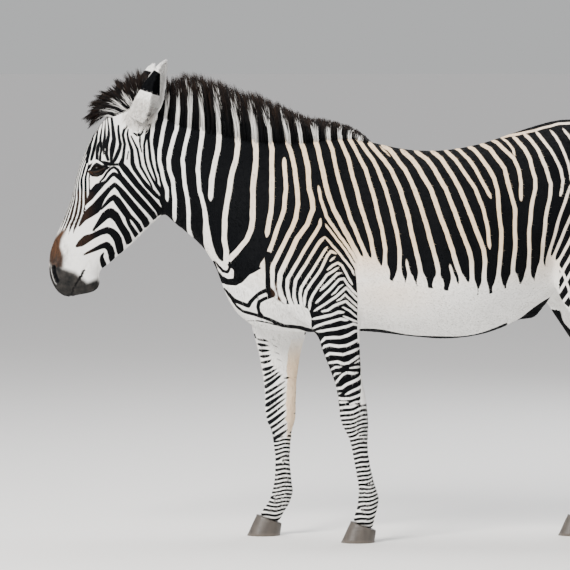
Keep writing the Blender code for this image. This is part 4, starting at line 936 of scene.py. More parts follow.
def body_light(skin):
    """Signed distance to the light parts of the coat behind the head."""
    x, y, z, normal = skin.x, skin.y, skin.z, skin.normal
    shift = skin.far * np.interp(z, *LEG_SHIFT) * step(-x, -14, 2)
    far_shift = skin.far * FAR_SIDE_X(x, y, z)
    wx = skin.flat_x + WANDER_X(x, y, z) + far_shift + shift
    wz = skin.flat_z + WANDER_Z(x, y, z)
    spot = np.stack([wx, wz], axis=1)
    body = stroke_field(spot, BODY_STROKES + tuple(rump_strokes()))
    below = np.interp(wx, *np.array(BELLY_LINE).T) - wz
    ragged = below + 0.5 * np.sin(1.7 * wx) + 0.4 * np.sin(4.3 * wx + 1)
    body = body + 1.7 * step(ragged, -6.0, 0.6) * (wx > -2) * (wx < BELLY_REAR)
    body = np.maximum(body, belly_light(skin, below, wx))
    body = np.maximum(body, area_field(spot, BREAST_AREA))
    body = np.maximum(body, area_field(spot, THROAT_AREA))
    body = np.minimum(body, -stroke_field(spot, BREAST_STROKES, taper=0))
    ringed_legs(skin, body)
    limit = 0.62 - 0.15 * normal[:, 0] + 1.6 * step(-z, -52, -38) + 0.08 * np.sin(0.8 * z)
    body = np.where(skin.on(*LEGS), np.maximum(body, (skin.inward - limit) * 3.5), body)
    inner = skin.on("foreleg_right_upper", "foreleg_right_lower") & (normal[:, 1] < 0.55)
    seen_z = LAYOUT_CENTRE + (z - LAYOUT_CENTRE) * math.cos(LAYOUT_TILT) + y * math.sin(LAYOUT_TILT)
    seen = np.stack([wx - shift - far_shift, seen_z], axis=1)[inner]
    far_leg = [stroke for fans in FAR_LEG_FANS for stroke in fan(*fans)]
    plain = (0.45 - normal[inner, 1] - 1.6 * step(-z[inner], -42, -34)) * 4
    body[inner] = np.minimum(np.maximum(body[inner], plain), -stroke_field(seen, far_leg))
    under = skin.on("trunk") & (z < 92) & (np.abs(y) < 11) & (x > -46)
    return np.where(under, np.maximum(body, (skin.inward - 0.1) * 4), body)


def face_lines(skin):
    """Fine dark lines down the front of the face, at an even pitch round it."""
    y, z = skin.y, skin.z
    middle = np.interp(z, *FACE_MIDDLE)
    arc = np.hypot(y, np.maximum(skin.x - middle, 0)) + 0.12 * np.sin(0.35 * z) + 0.08 * np.sin(0.9 * z + y)
    lines = (FACE_DARK_SHARE - np.abs((arc / FACE_PITCH + 0.25) % 1.0 - 0.5)) * FACE_PITCH
    return lines - 0.5 * step(-z, -112.5, -107.5) - 0.3 * step(arc, 2.4, 0.6) * step(z, 146, 152)


def head_light(skin, surface):
    """Signed distance to the light parts of the head."""
    x, y, z, normal, on_head = skin.x, skin.y, skin.z, skin.normal, skin.on_head
    half = np.stack([x, -np.abs(y), z], axis=1)
    half[:, 0] += 0.3 * skin.far * np.sin(0.5 * z)
    head = np.full(len(x), REACH)
    head[on_head] = -stroke_field(half[on_head], HEAD_STROKES, taper=0, lift=surface.lift)
    front = (skin.flat_x < np.interp(z, *FACE_EDGE)) & (z > 108) & on_head & (np.abs(y) < 9)
    head = np.where(front, np.minimum(head, -face_lines(skin)), head)
    jaw = on_head & (normal[:, 2] < -0.2) & (np.abs(normal[:, 1]) < 0.8) & (x > -101)
    past = stroke_field(skin.flat[jaw], drawn_out(HEAD_STROKES, 1.6), taper=0)
    head[jaw] = np.minimum(head[jaw], np.maximum(-past, 2.4 - np.abs(y[jaw])))
    return head


def nose_and_breast(skin, head, body):
    """The brown nose and the dark muzzle, with a little brown on the face's stripes and the breast."""
    x, z, on_head = skin.x, skin.z, skin.on_head
    nose = area_field(skin.flat, NOSE_BROWN_AREA)
    brown = step(nose, -0.7, 0.9) * on_head
    dark = step(area_field(skin.flat, MUZZLE_DARK_AREA), -0.9, 1.1) * on_head
    dark = np.maximum(dark, 0.62 * (step(nose, -0.9, 1.1) * on_head * step(-z, -104.5, -98.0)))
    freckles = hump(np.hypot((skin.flat_x + 106.8) / 1.1, (skin.flat_z - 101.5) / 2.0), 2.2) * on_head
    speckle = 0.5 + 0.5 * np.sin(9 * x + 3 * z) * np.sin(7 * z - 4 * x)
    brown = np.maximum(brown, 0.55 * freckles * speckle)
    brown = np.maximum(brown, 0.27 * on_head * step(-x, 95.0, 99.5) * step(-head, 0.0, 0.2) * (z < 124))
    breast = step(area_field(skin.flat, BREAST_BROWN_AREA), -0.6, 1.2)
    return np.maximum(brown, 0.5 * breast * (body < 0.25)), dark


def paint_ears(skin, light, grey):
    """White ears with a black band behind, a hollow of grey hair and painted shade, and painted shade at
    their feet.
    """
    for name, (base, tip, opens) in EARS.items():
        mine = skin.on(name)
        base, axis = np.array(base), np.array(tip) - np.array(base)
        height = ((skin.points[mine] / CM - base) @ axis) / (axis @ axis)
        inner = skin.normal[mine] @ np.array(opens)
        if name == "ear_left":
            light[mine] = -area_field(skin.flat[mine], EAR_PATCH_AREA)
            # Grey inner hair with painted shade, on the rear strip where the hollow shows.
            grey[mine] = 0.5 * step(skin.flat_x[mine], -73.4, -72.4)
        else:
            light[mine] = np.where(inner > 0.5, REACH, 10 * np.maximum(0.42 - height, height - 0.84))
            # Grey inner hair with painted shade, in the hollow.
            grey[mine] = 0.5 * step(inner, 0.3, 0.6)
        # Painted shade at the ear's foot, broken up by a wave.
        foot = step(-height, -0.4, -0.1)
        grey[mine] += 0.25 * foot * (0.5 + 0.5 * np.sin(1.7 * skin.x[mine] + 2.3 * skin.z[mine]))


def paint_eyes(turned, light, brown, dark):
    """A black rim round the lids and at the corner, a pale line over it and brown below it."""
    x, z = turned[:, 0], turned[:, 2]
    beyond, height, radius, outer, _ = round_the_eye(turned)
    near = outer & (radius < 6.5)
    upper = near & (height > 0)
    brow = upper & (x > EYE_CENTRE[0] - 3.2)
    light = np.where(brow, np.maximum(light, (0.26 - np.abs(beyond - 1.12)) * 2), light)
    rear = step(x, EYE_CENTRE[0] + 0.6, EYE_CENTRE[0] + 3.0)
    rim = np.where(upper, 0.85, 0.5 + 0.7 * rear) - beyond
    lower = hump(x, 2.8, EYE_CENTRE[0] - 0.9) * 2.8
    light = np.where(near, np.minimum(light, -rim * 2), light)
    light = np.where(near & (height < 0), np.minimum(light, (beyond - lower) * 2), light)
    corner = 1 - ((x + 94.0) / 3.0) ** 2 - ((z - 132.3 - 0.15 * (x + 94)) / 1.2) ** 2
    light = np.where(outer, np.minimum(light, -1.5 * corner), light)
    pouch = near * (height < 0) * step(lower - beyond, -0.3, 0.3) * step(beyond, 0.3, 0.6)
    brown = np.maximum(brown, 0.45 * pouch)
    return light, brown, np.maximum(dark, 1.8 * near * step(0.30 - beyond, -0.12, 0.12))


def paint_nostrils_and_mouth(turned, slit, on_head, dark):
    """Painted shade in black inside the nostrils and along the mouth's crease, dark skin round the nostrils,
    paler in front of them.
    """
    hole = np.minimum(apart(turned, slit), apart(turned, slit + (0.55, 0.5, 0.0)))
    rim = step(hole, 0.95, 1.2) * step(-hole, -1.8, -1.4) * (turned[:, 0] < -109.6)
    dark = np.maximum(dark, 0.85 * step(-hole, -2.0, -1.5)) * (1 - 0.45 * rim)
    # Painted shade: black inside the nostril's slit.
    dark = np.maximum(dark, 1.9 * step(0.80 - hole, -0.12, 0.12))
    # Painted shade: a black line along the mouth's crease.
    mouth = apart(turned[:, [0, 2]], MOUTH)
    return np.maximum(dark, 1.8 * step(0.30 - mouth, -0.1, 0.1) * on_head)


def paint_underside(skin, light):
    """The black line along the belly and the black sheath."""
    x, y, z, trunk = skin.x, skin.y, skin.z, skin.on("trunk")
    line = 8.0 + 0.8 * np.sin(0.3 * x) - np.abs(y)
    light = np.minimum(light, -np.where(trunk & (x > -4) & (x < 50) & (skin.normal[:, 2] < -0.7), line, -9))
    sheath = 1 - ((x - 57.5) / 9.5) ** 2 - (y / 5.5) ** 2 - ((z - 83) / 6.0) ** 2
    return np.where(trunk, np.minimum(light, -sheath * 3), light)


def cream_tint(skin):
    """Cream in the light stripes of the body, behind the elbow and along the rear of the far foreleg."""
    x, z, normal = skin.x, skin.z, skin.normal
    cream = step(z, 88, 108) * step(x, -68, -20) * (1 - 0.5 * step(x, 45, 75)) * ~skin.on("head")
    elbow = hump(np.hypot((x - 8) / 2.2, z - 89), 7.0) * skin.on("trunk")
    cream = np.maximum(cream, 0.4 * elbow)
    far_leg = skin.on("foreleg_right_upper", "foreleg_right_lower")
    rear_edge = far_leg & (normal[:, 0] > 0.25) & (normal[:, 1] < 0.6)
    return np.maximum(cream, 0.9 * rear_edge * step(z, 30, 40) * step(-z, -74, -60))


def paint(points, faces, labels, slit):
    """The values that colour the coat at each point of the skin."""
    skin = Skin(points, faces, labels)
    body = body_light(skin)
    head = head_light(skin, Surface(points, faces))
    light = np.where(skin.on_head, head, body)
    brown, dark = nose_and_breast(skin, head, body)
    grey = np.zeros(len(points))
    paint_ears(skin, light, grey)
    turned, _ = mirrored(points)
    light, brown, dark = paint_eyes(turned, light, brown, dark)
    dark = paint_nostrils_and_mouth(turned, slit, skin.on_head, dark)
    light = paint_underside(skin, light)
    return {"light": light, "brown": brown, "dark": dark, "cream": cream_tint(skin), "grey": grey}


# ---------------------------------------------------------------- materials
def new_material(name, colour, roughness):
    """A plain material of one colour and roughness."""
    material = bpy.data.materials.new(name)
    material.use_nodes = True
    shader = material.node_tree.nodes["Principled BSDF"]
    shader.inputs["Base Color"].default_value = (*colour, 1)
    shader.inputs["Roughness"].default_value = roughness
    return material


def attribute(tree, name):
    """A value stored at the points of the mesh."""
    node = tree.nodes.new("ShaderNodeAttribute")
    node.attribute_name = name
    return node.outputs["Fac"]


def between(tree, value, low, high):
    """The value scaled to run from 0 at low to 1 at high."""
    node = tree.nodes.new("ShaderNodeMapRange")
    node.inputs["From Min"].default_value = low
    node.inputs["From Max"].default_value = high
    tree.links.new(value, node.inputs["Value"])
    return node.outputs["Result"]


def mixed(tree, share, first, second):
    """The first colour at a share of 0 and the second at 1."""
    node = tree.nodes.new("ShaderNodeMix")
    node.data_type = "RGBA"
    tree.links.new(share, node.inputs[0])
    for socket, value in ((node.inputs[6], first), (node.inputs[7], second)):
        if isinstance(value, tuple):
            socket.default_value = (*value, 1)
        else:
            tree.links.new(value, socket)
    return node.outputs[2]


def noise(tree, scale, stretch=(1, 1, 1), detail=2.0):
    """Solid noise, drawn out along each axis whose stretch is under 1."""
    place = tree.nodes.new("ShaderNodeTexCoord")
    mapping = tree.nodes.new("ShaderNodeMapping")
    mapping.inputs["Scale"].default_value = stretch
    tree.links.new(place.outputs["Object"], mapping.inputs["Vector"])
    texture = tree.nodes.new("ShaderNodeTexNoise")
    texture.inputs["Scale"].default_value = scale
    texture.inputs["Detail"].default_value = detail
    tree.links.new(mapping.outputs["Vector"], texture.inputs["Vector"])
    return texture.outputs["Fac"]


def blended(tree, share, first, second):
    """The first number at a share of 0 and the second at 1."""
    node = tree.nodes.new("ShaderNodeMix")
    tree.links.new(share, node.inputs[0])
    tree.links.new(first, node.inputs[2])
    tree.links.new(second, node.inputs[3])
    return node.outputs[0]


def bumped(tree, shader, height, strength, distance):
    """Bends the shader's normal by the height, a number from a texture."""
    bump = tree.nodes.new("ShaderNodeBump")
    bump.inputs["Strength"].default_value = strength
    bump.inputs["Distance"].default_value = distance
    tree.links.new(height, bump.inputs["Height"])
    tree.links.new(bump.outputs["Normal"], shader.inputs["Normal"])


def coat_material():
    """Short coat: its colours come from the values stored at each point, its hairs from drawn-out noise."""
    material = new_material("coat", WHITE, 0.7)
    tree = material.node_tree
    shader = tree.nodes["Principled BSDF"]
    shader.inputs["Specular IOR Level"].default_value = 0.06
    pale = mixed(tree, attribute(tree, "cream"), WHITE, CREAM)
    # The ears' grey: part grey hair, part painted shade in the hollows and at the feet.
    pale = mixed(tree, attribute(tree, "grey"), pale, GREY_AND_SHADE)
    shade = between(tree, attribute(tree, "shade"), 0.0, 2.4)
    pale = mixed(tree, shade, pale, (0.62, 0.57, 0.52))
    light = between(tree, attribute(tree, "light"), -0.10, 0.10)
    colour = mixed(tree, light, BLACK, pale)
    mottle = between(tree, noise(tree, 45.0, (1, 1, 1), 4.0), 0.35, 0.65)
    streak = between(tree, noise(tree, 150.0, (1.0, 1.0, 0.3), 3.0), 0.35, 0.7)
    tan = mixed(tree, streak, (0.040, 0.022, 0.014), BROWN)
    colour = mixed(tree, attribute(tree, "brown"), colour, tan)
    muzzle = mixed(tree, mottle, MUZZLE, (0.036, 0.033, 0.031))
    colour = mixed(tree, attribute(tree, "dark"), colour, muzzle)
    # Black where dark is over 1: the lids' dark rims, and painted shade in the nostrils and the mouth's
    # crease.
    colour = mixed(tree, between(tree, attribute(tree, "dark"), 1.0, 1.8), colour, BLACK)
    tree.links.new(colour, shader.inputs["Base Color"])
    along_body = noise(tree, 260.0, (0.22, 1.0, 1.0))
    down_leg = noise(tree, 260.0, (1.0, 1.0, 0.22))
    bumped(tree, shader, blended(tree, attribute(tree, "hang"), along_body, down_leg), 0.35, 0.0012)
    return material


def hair_material():
    """Mane, forelock and tail hair, with its light and its brown stored at its points."""
    material = new_material("mane_hair", WHITE, 0.5)
    tree = material.node_tree
    shader = tree.nodes["Principled BSDF"]
    shader.inputs["Specular IOR Level"].default_value = 0.1
    pale = mixed(tree, attribute(tree, "shade"), WHITE, (0.55, 0.53, 0.50))
    light = between(tree, attribute(tree, "light"), -0.3, 0.3)
    dark = mixed(tree, attribute(tree, "brown"), BLACK, (0.045, 0.024, 0.014))
    tree.links.new(mixed(tree, light, dark, pale), shader.inputs["Base Color"])
    bumped(tree, shader, noise(tree, 500.0, (1.0, 1.0, 0.12)), 0.3, 0.0008)
    return material


def hoof_material():
    """Grey-brown horn with streaks down it, paler where it is worn near the ground."""
    material = new_material("hoof_horn", (0.05, 0.045, 0.04), 0.42)
    tree = material.node_tree
    shader = tree.nodes["Principled BSDF"]
    streaks = noise(tree, 60.0, (1.0, 1.0, 0.25), 4.0)
    colour = mixed(tree, streaks, (0.030, 0.026, 0.024), (0.115, 0.098, 0.082))
    worn = between(tree, attribute(tree, "worn"), 0.0, 1.0)
    tree.links.new(mixed(tree, worn, colour, (0.20, 0.17, 0.14)), shader.inputs["Base Color"])
    bumped(tree, shader, noise(tree, 90.0, (0.4, 0.4, 3.0), 3.0), 0.4, 0.002)
    return material


def eye_material():
    """A wet dark globe, with its iris and pupil stored at its points."""
    material = new_material("eye_globe", (0.01, 0.006, 0.004), 0.04)
    tree = material.node_tree
    shader = tree.nodes["Principled BSDF"]
    shader.inputs["Specular IOR Level"].default_value = 0.10
    iris = between(tree, attribute(tree, "iris"), -0.03, 0.03)
    pupil = between(tree, attribute(tree, "pupil"), -0.03, 0.03)
    streaks = noise(tree, 700.0, (1, 1, 1), 3.0)
    brown = mixed(tree, streaks, (0.0015, 0.001, 0.0008), (0.005, 0.0025, 0.0014))
    colour = mixed(tree, iris, (0.004, 0.003, 0.0025), brown)
    tree.links.new(mixed(tree, pupil, colour, (0.0015, 0.0015, 0.002)), shader.inputs["Base Color"])
    return material


# ---------------------------------------------------------------- coat
def unit(vectors):
    """The vectors at unit length."""
    return vectors / np.maximum(np.linalg.norm(vectors, axis=1), 1e-9)[:, None]


def tangent(vectors, normal):
    """The vectors laid flat on the surface, at unit length."""
    return unit(vectors - normal * (vectors * normal).sum(1)[:, None])


def flow_over(points, faces, labels, net):
    """The lie of the coat at each point: back along the body, down the legs, down the face."""
    normal = normals_of(points, faces)
    x, y, z = (points / CM).T
    flow = np.tile((0.12, 0.0, -1.0), (len(points), 1))
    for name, lie in FLOW.items():
        flow[labels == NODE_NUMBER[name]] = lie
    trunk = labels == NODE_NUMBER["trunk"]
    down = (step(-x, 8, 30) * step(118 - z, 0, 25))[:, None]
    thigh = (step(x, 58, 75) * step(-z, -112, -88))[:, None]
    flow[trunk] = (flow + (down + thigh) * (-0.9, 0.0, -0.75))[trunk]
    jaw = (labels == NODE_NUMBER["head"]) & (x > -92) & (z > 105)
    flow[jaw] = (0.35, 0.0, -0.9)
    head = labels == NODE_NUMBER["head"]
    flow[head, 1] += 0.25 * np.sign(y[head])
    flow = net.smooth(flow, 25)
    return tangent(flow, normal), normal


def unwrap(points, labels):
    """Lays the skin out part by part, each part unrolled round its own axis into its own tile."""
    spots = np.zeros((len(points), 2))
    side = 4
    for k, name in enumerate(FLESH):
        mine = labels == NODE_NUMBER[name]
        if not mine.any():
            continue
        p = points[mine]
        centre = p.mean(0)
        _, _, axes = np.linalg.svd((p - centre)[:: max(1, len(p) // 2000)], full_matrices=False)
        q = (p - centre) @ axes.T
        along = (q[:, 0] - q[:, 0].min()) / max(np.ptp(q[:, 0]), 1e-6)
        round_it = np.arctan2(q[:, 2], q[:, 1]) / (2 * math.pi) + 0.5
        tile = np.array((k % side, k // side))
        spots[mine] = (tile + 0.03 + 0.94 * np.stack([along, round_it], axis=1)) / side
    return spots


class Locks:
    """Collects tufts and makes them into one piece."""

    def __init__(self, name, slot, material, steps):
        self.name, self.slot, self.material, self.steps = name, slot, material, steps
        self.points, self.values, self.spots, self.count = [], [], [], 0

    def lay(self, roots, normal, along, length, width, lift, values, spots):
        """Straight tufts that leave the skin at the slope lift."""
        share = np.linspace(0, 1, self.steps + 1)[None, :, None]
        reach = (along + normal * lift[:, None]) * length[:, None]
        self.add(roots[:, None] + reach[:, None] * share, normal, width, values, spots)

    def add(self, paths, normal, width, values, spots, thick=0.45):
        """Tufts along the given paths, tapering to a point, with a three-sided section."""
        n, steps = len(paths), self.steps
        along = unit((paths[:, 1] - paths[:, 0]))
        side = unit(np.cross(normal, along))
        up = unit(np.cross(along, side))
        rows = []
        for k in range(steps):
            w = (width * 0.5 * (1 - k / steps) ** 0.6)[:, None]
            base = paths[:, k] - up * (thick * w * (1.2 if k == 0 else 0.5))
            rows += [base - side * w, base + side * w, paths[:, k] + up * thick * w]
        rows.append(paths[:, -1])
        self.points.append(np.stack(rows, axis=1).reshape(-1, 3))
        ring = np.append(np.repeat(np.arange(steps), 3), steps)
        made = {}
        for key, value in values.items():
            made[key] = (np.repeat(value, len(ring)) if value.ndim == 1 else value[:, ring].ravel())
        self.values.append(made)
        self.spots.append(spots)
        self.count += n

    def triangles(self):
        """The faces of all the tufts: a cap at the root, the sides, and the point."""
        steps = self.steps
        one = [(0, 2, 1)]
        for k in range(steps - 1):
            for a, b in ((0, 1), (1, 2), (2, 0)):
                p, q = 3 * k + a, 3 * k + b
                one += [(p, q, q + 3), (p, q + 3, p + 3)]
        last = 3 * (steps - 1)
        one += [(last + a, last + b, last + 3) for a, b in ((0, 1), (1, 2), (2, 0))]
        per = 3 * steps + 1
        return (np.array(one)[None] + (np.arange(self.count) * per)[:, None, None]).reshape(-1, 3)

    def build(self):
        """The piece, with each tuft a small patch at its root's place on the map."""
        faces = self.triangles()
        mesh = quick_mesh(self.name, np.concatenate(self.points), faces)
        keys = self.values[0].keys()
        add_values(mesh, {key: np.concatenate([v[key] for v in self.values]) for key in keys})
        spots = np.concatenate(self.spots)
        spots = (spots - spots.min(0)) / np.maximum(np.ptp(spots, axis=0), 1e-9)
        spots = TUFT_PATCH + spots * (1 - 2 * TUFT_PATCH)
        along = np.append(np.repeat(np.arange(self.steps), 3), self.steps) / self.steps - 0.5
        across = np.append(np.tile((-0.35, 0.35, 0.0), self.steps), 0.0)
        patch = np.stack([along, across], axis=1) * TUFT_PATCH
        uv = (spots[:, None, :] + patch[None]).reshape(-1, 2)[faces.ravel()]
        mesh.uv_layers.new(name="OFBake").data.foreach_set("uv", uv.astype(np.float32).ravel())
        return shown(self.name, mesh, self.material)


class Ground:
    """The skin that tufts grow from: draws random roots and reads the skin's values there."""

    def __init__(self, points, faces, labels, values, flow, normal, spots):
        self.points, self.faces, self.labels, self.values = points, faces, labels, values
        self.flow, self.normal, self.spots = flow, normal, spots
        corner = points[faces]
        across = np.cross(corner[:, 1] - corner[:, 0], corner[:, 2] - corner[:, 0])
        self.area = np.linalg.norm(across, axis=1) / 2
        self.face_label = labels[faces[:, 0]]
        self.centre = corner.mean(1)

    def roots(self, rng, mask, per_square_cm):
        """Random roots on the faces of the mask, at that many to a square centimetre."""
        chance = self.area * mask * per_square_cm * 1e4
        number = rng.poisson(chance)
        face = np.repeat(np.arange(len(chance)), number)
        a, b = rng.random((2, len(face)))
        flip = a + b > 1
        a[flip], b[flip] = 1 - a[flip], 1 - b[flip]
        share = np.stack([1 - a - b, a, b], axis=1)
        corner = self.faces[face]

        def read(values):
            picked = values[corner]
            return (picked * (share[..., None] if picked.ndim == 3 else share)).sum(1)
        values = {key: read(v) for key, v in self.values.items()}
        normal = unit(read(self.normal))
        along = tangent(read(self.flow), normal)
        return read(self.points), normal, along, values, self.spots[corner[:, 0]], face


def tuft_sizes(points, labels):
    """Length and width of the tufts at each point."""
    x, _, z = (points / CM).T
    length = np.full(len(points), 0.9)
    width = np.full(len(points), 0.15)
    for names, long, wide in TUFT_SIZES:
        mine = np.isin(labels, [NODE_NUMBER[name] for name in names])
        length[mine], width[mine] = long, wide
    head = labels == NODE_NUMBER["head"]
    length[head] -= 0.25 * step(-x[head], 84, 104)
    length[(labels == NODE_NUMBER["trunk"]) & (x < -20) & (z < 100)] = 1.4
    return length * CM, width * CM


class Nearest:
    """Reads the skin's values at the nearest of its points."""

    def __init__(self, points):
        self.tree = KDTree(len(points))
        for i, p in enumerate(points):
            self.tree.insert(p, i)
        self.tree.balance()

    def index(self, places):
        return np.array([self.tree.find(p)[1] for p in places], int)


def short_coat(name, members, density, where=None):
    """Short tufts over some of the skin, each of its root's colour, none lying over the edge of a stripe."""
    mask = np.isin(GROUND.face_label, [NODE_NUMBER[member] for member in members])
    if where is not None:
        mask = mask & where(GROUND.centre / CM)
    roots, normal, along, values, spots, face = GROUND.roots(rng, mask, density)
    length, width = tuft_sizes(roots, GROUND.face_label[face])
    n = len(roots)
    length = length * rng.uniform(0.7, 1.25, n)
    along = tangent(along + 0.14 * rng.normal(size=(n, 3)), normal)
    tip = NEAREST.index(roots + along * (1.1 * length)[:, None])
    values["shade"] = rng.random(n) ** 2
    beyond, _, radius, outer, _ = round_the_eye(mirrored(roots)[0])
    on_globe = outer & (beyond < 0.25) & (radius < 4.0)
    keep = ~on_globe & (values["light"] * VALUES["light"][tip] >= 0)
    width = width * rng.uniform(0.8, 1.2, n)
    lift = rng.uniform(0.04, 0.15, n)
    values = {key: value[keep] for key, value in values.items()}
    locks = Locks(name, "coat", COAT, 1)
    kept = [each[keep] for each in (roots, normal, along, length, width, lift)]
    locks.lay(*kept, values, spots[keep])
    return locks.build()


def ear_fur(density=9.0, steps=2):
    """Longer, loose fur round the foot of each ear."""
    members = [NODE_NUMBER[name] for name in ("head", "neck") + EAR_NAMES]
    c = GROUND.centre / CM
    foot = np.minimum(np.hypot(c[:, 0] + 80.5, c[:, 2] - 150.5) / 7.0, 1)
    mask = np.isin(GROUND.face_label, members) & (foot < 1) & (np.abs(c[:, 1]) > 3.2)
    roots, normal, _, values, spots, _ = GROUND.roots(rng, mask * step(-foot, -1.0, -0.6), density)
    n = len(roots)
    along = tangent(np.tile((0.45, 0.0, 0.9), (n, 1)) + 0.25 * rng.normal(size=(n, 3)), normal)
    length = rng.uniform(1.1, 2.3, n) * CM
    t = np.linspace(0, 1, steps + 1)[None, :, None]
    lift = rng.uniform(0.15, 0.45, n)[:, None, None]
    bend_up = normal[:, None] * lift * t * (1 - 0.4 * t)
    paths = roots[:, None] + length[:, None, None] * (along[:, None] * t + bend_up)
    values["light"] = np.maximum(values["light"], 0.3)
    # Painted shade at random strengths in the fur at the ear's foot.
    values["grey"] = 0.45 * rng.random(n) ** 2
    values["shade"] = rng.random(n) ** 2
    values["cream"] = 0.25 * rng.random(n)
    locks = Locks("ear_fur", "coat", COAT, steps)
    locks.add(paths, normal, rng.uniform(0.1, 0.18, n) * CM, values, spots)
    return locks.build()


# ---------------------------------------------------------------- mane, forelock and tail
def curved(roots, control, tips, steps):
    """Paths from the roots to the tips, drawn towards the control points."""
    t = np.linspace(0, 1, steps + 1)[None, :, None]
    return (1 - t) ** 2 * roots[:, None] + 2 * t * (1 - t) * control[:, None] + t ** 2 * tips[:, None]


def skin_top(x, y):
    """Height of the skin's upper side at each place, in cm."""
    found = []
    for a, b in zip(x, y):
        hit = PLAIN_SKIN.ray_cast(Vector((a, b, 200)), Vector((0, 0, -1)))[0]
        found.append(hit[2] if hit else 130.0)
    return np.array(found)


def fading(light, steps, height):
    """Light at the root, dark from a certain share of the length on."""
    t = np.linspace(0, 1, steps + 1)[None]
    turn = rng.normal(height, 0.08, len(light))[:, None]
    return np.minimum(light[:, None], (turn - t) * 4)


def clumped(group, place):
    """For each hair of a group: three random numbers that the group shares, and its middle place."""
    _, index = np.unique(group, return_inverse=True)
    shared = rng.random((index.max() + 1, 3))[index]
    return shared, (np.bincount(index, place) / np.bincount(index))[index]


def browner_tips(count, steps):
    """Brown towards the tip of each hair, more on some than on others."""
    return np.linspace(0, 1, steps + 1)[None] ** 3 * rng.random(count)[:, None] ** 2


def mane_light(x, lower, ground):
    """Light where a stripe of the neck runs up into the mane, and in its lower hairs as the skin is there."""
    band = np.full(len(x), -1.0)
    for place, width in MANE_BANDS:
        band = np.maximum(band, width - np.abs(x - place - 0.25 * rng.normal(size=len(x))))
    return np.clip(np.where(lower, ground, band) * 3, -1, 1)


def mane(count, steps=3):
    """Upright hair in clumps along the crest, with shorter hair down its sides."""
    x = rng.uniform(-80.5, 1.3, count)
    half = np.interp(x, *MANE_HALF)
    y = rng.uniform(-1, 1, count) * half
    lower = rng.random(count) < 0.4
    y = np.where(lower, np.sign(y) * (half * 0.8 + 2.0 * rng.random(count) ** 2), y)
    bottom = skin_top(x, y) - 0.4
    group = np.floor(x + 0.3 * np.sin(2.1 * y) + rng.normal(0, 0.25, count)) + 200 * (y > 0)
    shared, centre = clumped(group, x)
    length = np.interp(x, *MANE_TOP) - bottom
    length = length * (0.88 + 0.13 * shared[:, 0]) * (1 - 0.34 * rng.beta(1.1, 3.0, count))
    length = length * np.where(lower, 0.88, 1.0)
    lean = np.interp(x, *MANE_LEAN) + 0.12 * (shared[:, 1] - 0.5) + 0.03 * rng.normal(size=count)
    tip_x = centre + 0.55 * (x - centre) + lean * length
    tip_y = y * 0.42 + 0.9 * (shared[:, 2] - 0.5) + rng.normal(0, 0.2, count)
    roots = np.stack([x, y, bottom], axis=1)
    tips = np.stack([tip_x, tip_y, bottom + length], axis=1)
    rise = np.interp(x, *MANE_RISE) * length * 0.6
    control = np.stack([x + rise, y * 1.1, bottom + 0.58 * length], axis=1)
    outward = np.stack([0.15 * rng.normal(size=count), np.where(y > 0, 1.0, -1.0), 0 * x], axis=1)
    light = mane_light(x, lower, VALUES["light"][NEAREST.index(roots * CM)])
    values = {
        "light": fading(light, steps, 0.66), "shade": rng.random(count) * 0.7,
        "brown": browner_tips(count, steps),
    }
    locks = Locks("mane_tufts", "mane_hair", HAIR, steps)
    width = rng.uniform(0.22, 0.4, count) * CM
    spots = np.stack([x, y / (half + 2.0)], axis=1)
    locks.add(curved(roots, control, tips, steps) * CM, outward, width, values, spots)
    return locks.build()


def forelock(count, steps=4):
    """Hair in clumps from the brow to the poll, arching forward over the brow."""
    u = rng.random(count)
    base = 0.30 + 0.70 * u
    x, z = (np.interp(base, FORELOCK_ROOT[0], FORELOCK_ROOT[k]) for k in (1, 2))
    y = rng.uniform(-1, 1, count) * (1.2 + 1.4 * np.sin(math.pi * base))
    roots = points[NEAREST.index(np.stack([x, y, z], axis=1) * CM)] / CM - (0, 0, 0.3)
    roots[:, :2] += rng.normal(0, 0.2, (count, 2))
    group = np.floor(u * 15 + rng.normal(0, 0.2, count)) + 40 * np.floor(y / 0.85 + 0.5)
    shared, centre = clumped(group, u)
    aim = centre + 0.22 * (u - centre) + 0.09 * (shared[:, 2] - 0.5) + 0.008 * rng.normal(size=count)
    aim = np.clip(aim, 0, 1)
    tip_x, tip_z = (np.interp(aim, FORELOCK_TIP[0], FORELOCK_TIP[k]) for k in (1, 2))
    tips = np.stack([tip_x, y * 1.25 + 1.6 * (shared[:, 1] - 0.5), tip_z], axis=1)
    share = (0.74 + 0.30 * shared[:, 0]) * (1 - 0.45 * rng.beta(1.0, 2.0, count))
    tips = roots + (tips - roots) * share[:, None]
    arch = (3.2 * (1 - u) ** 1.5 + 0.6)[:, None]
    control = roots + 0.5 * (tips - roots) + arch * np.array((-0.25, 0.0, 0.97))
    streak = np.sin(2 * math.pi * (5.2 * u + 0.1)) + 0.5 * rng.normal(size=count) - 0.45
    values = {
        "light": fading(np.clip(streak * 2, -1, 1), steps, 0.50), "shade": rng.random(count) * 0.8,
        "brown": browner_tips(count, steps),
    }
    locks = Locks("forelock_tufts", "mane_hair", HAIR, steps)
    outward = np.stack([-0.3 + 0 * u, np.where(y > 0, 1.0, -1.0), 0.2 * rng.normal(size=count)], axis=1)
    width = rng.uniform(0.2, 0.36, count) * CM
    spots = np.stack([u, y], axis=1)
    locks.add(curved(roots, control, tips, steps) * CM, outward, width, values, spots)
    return locks.build()


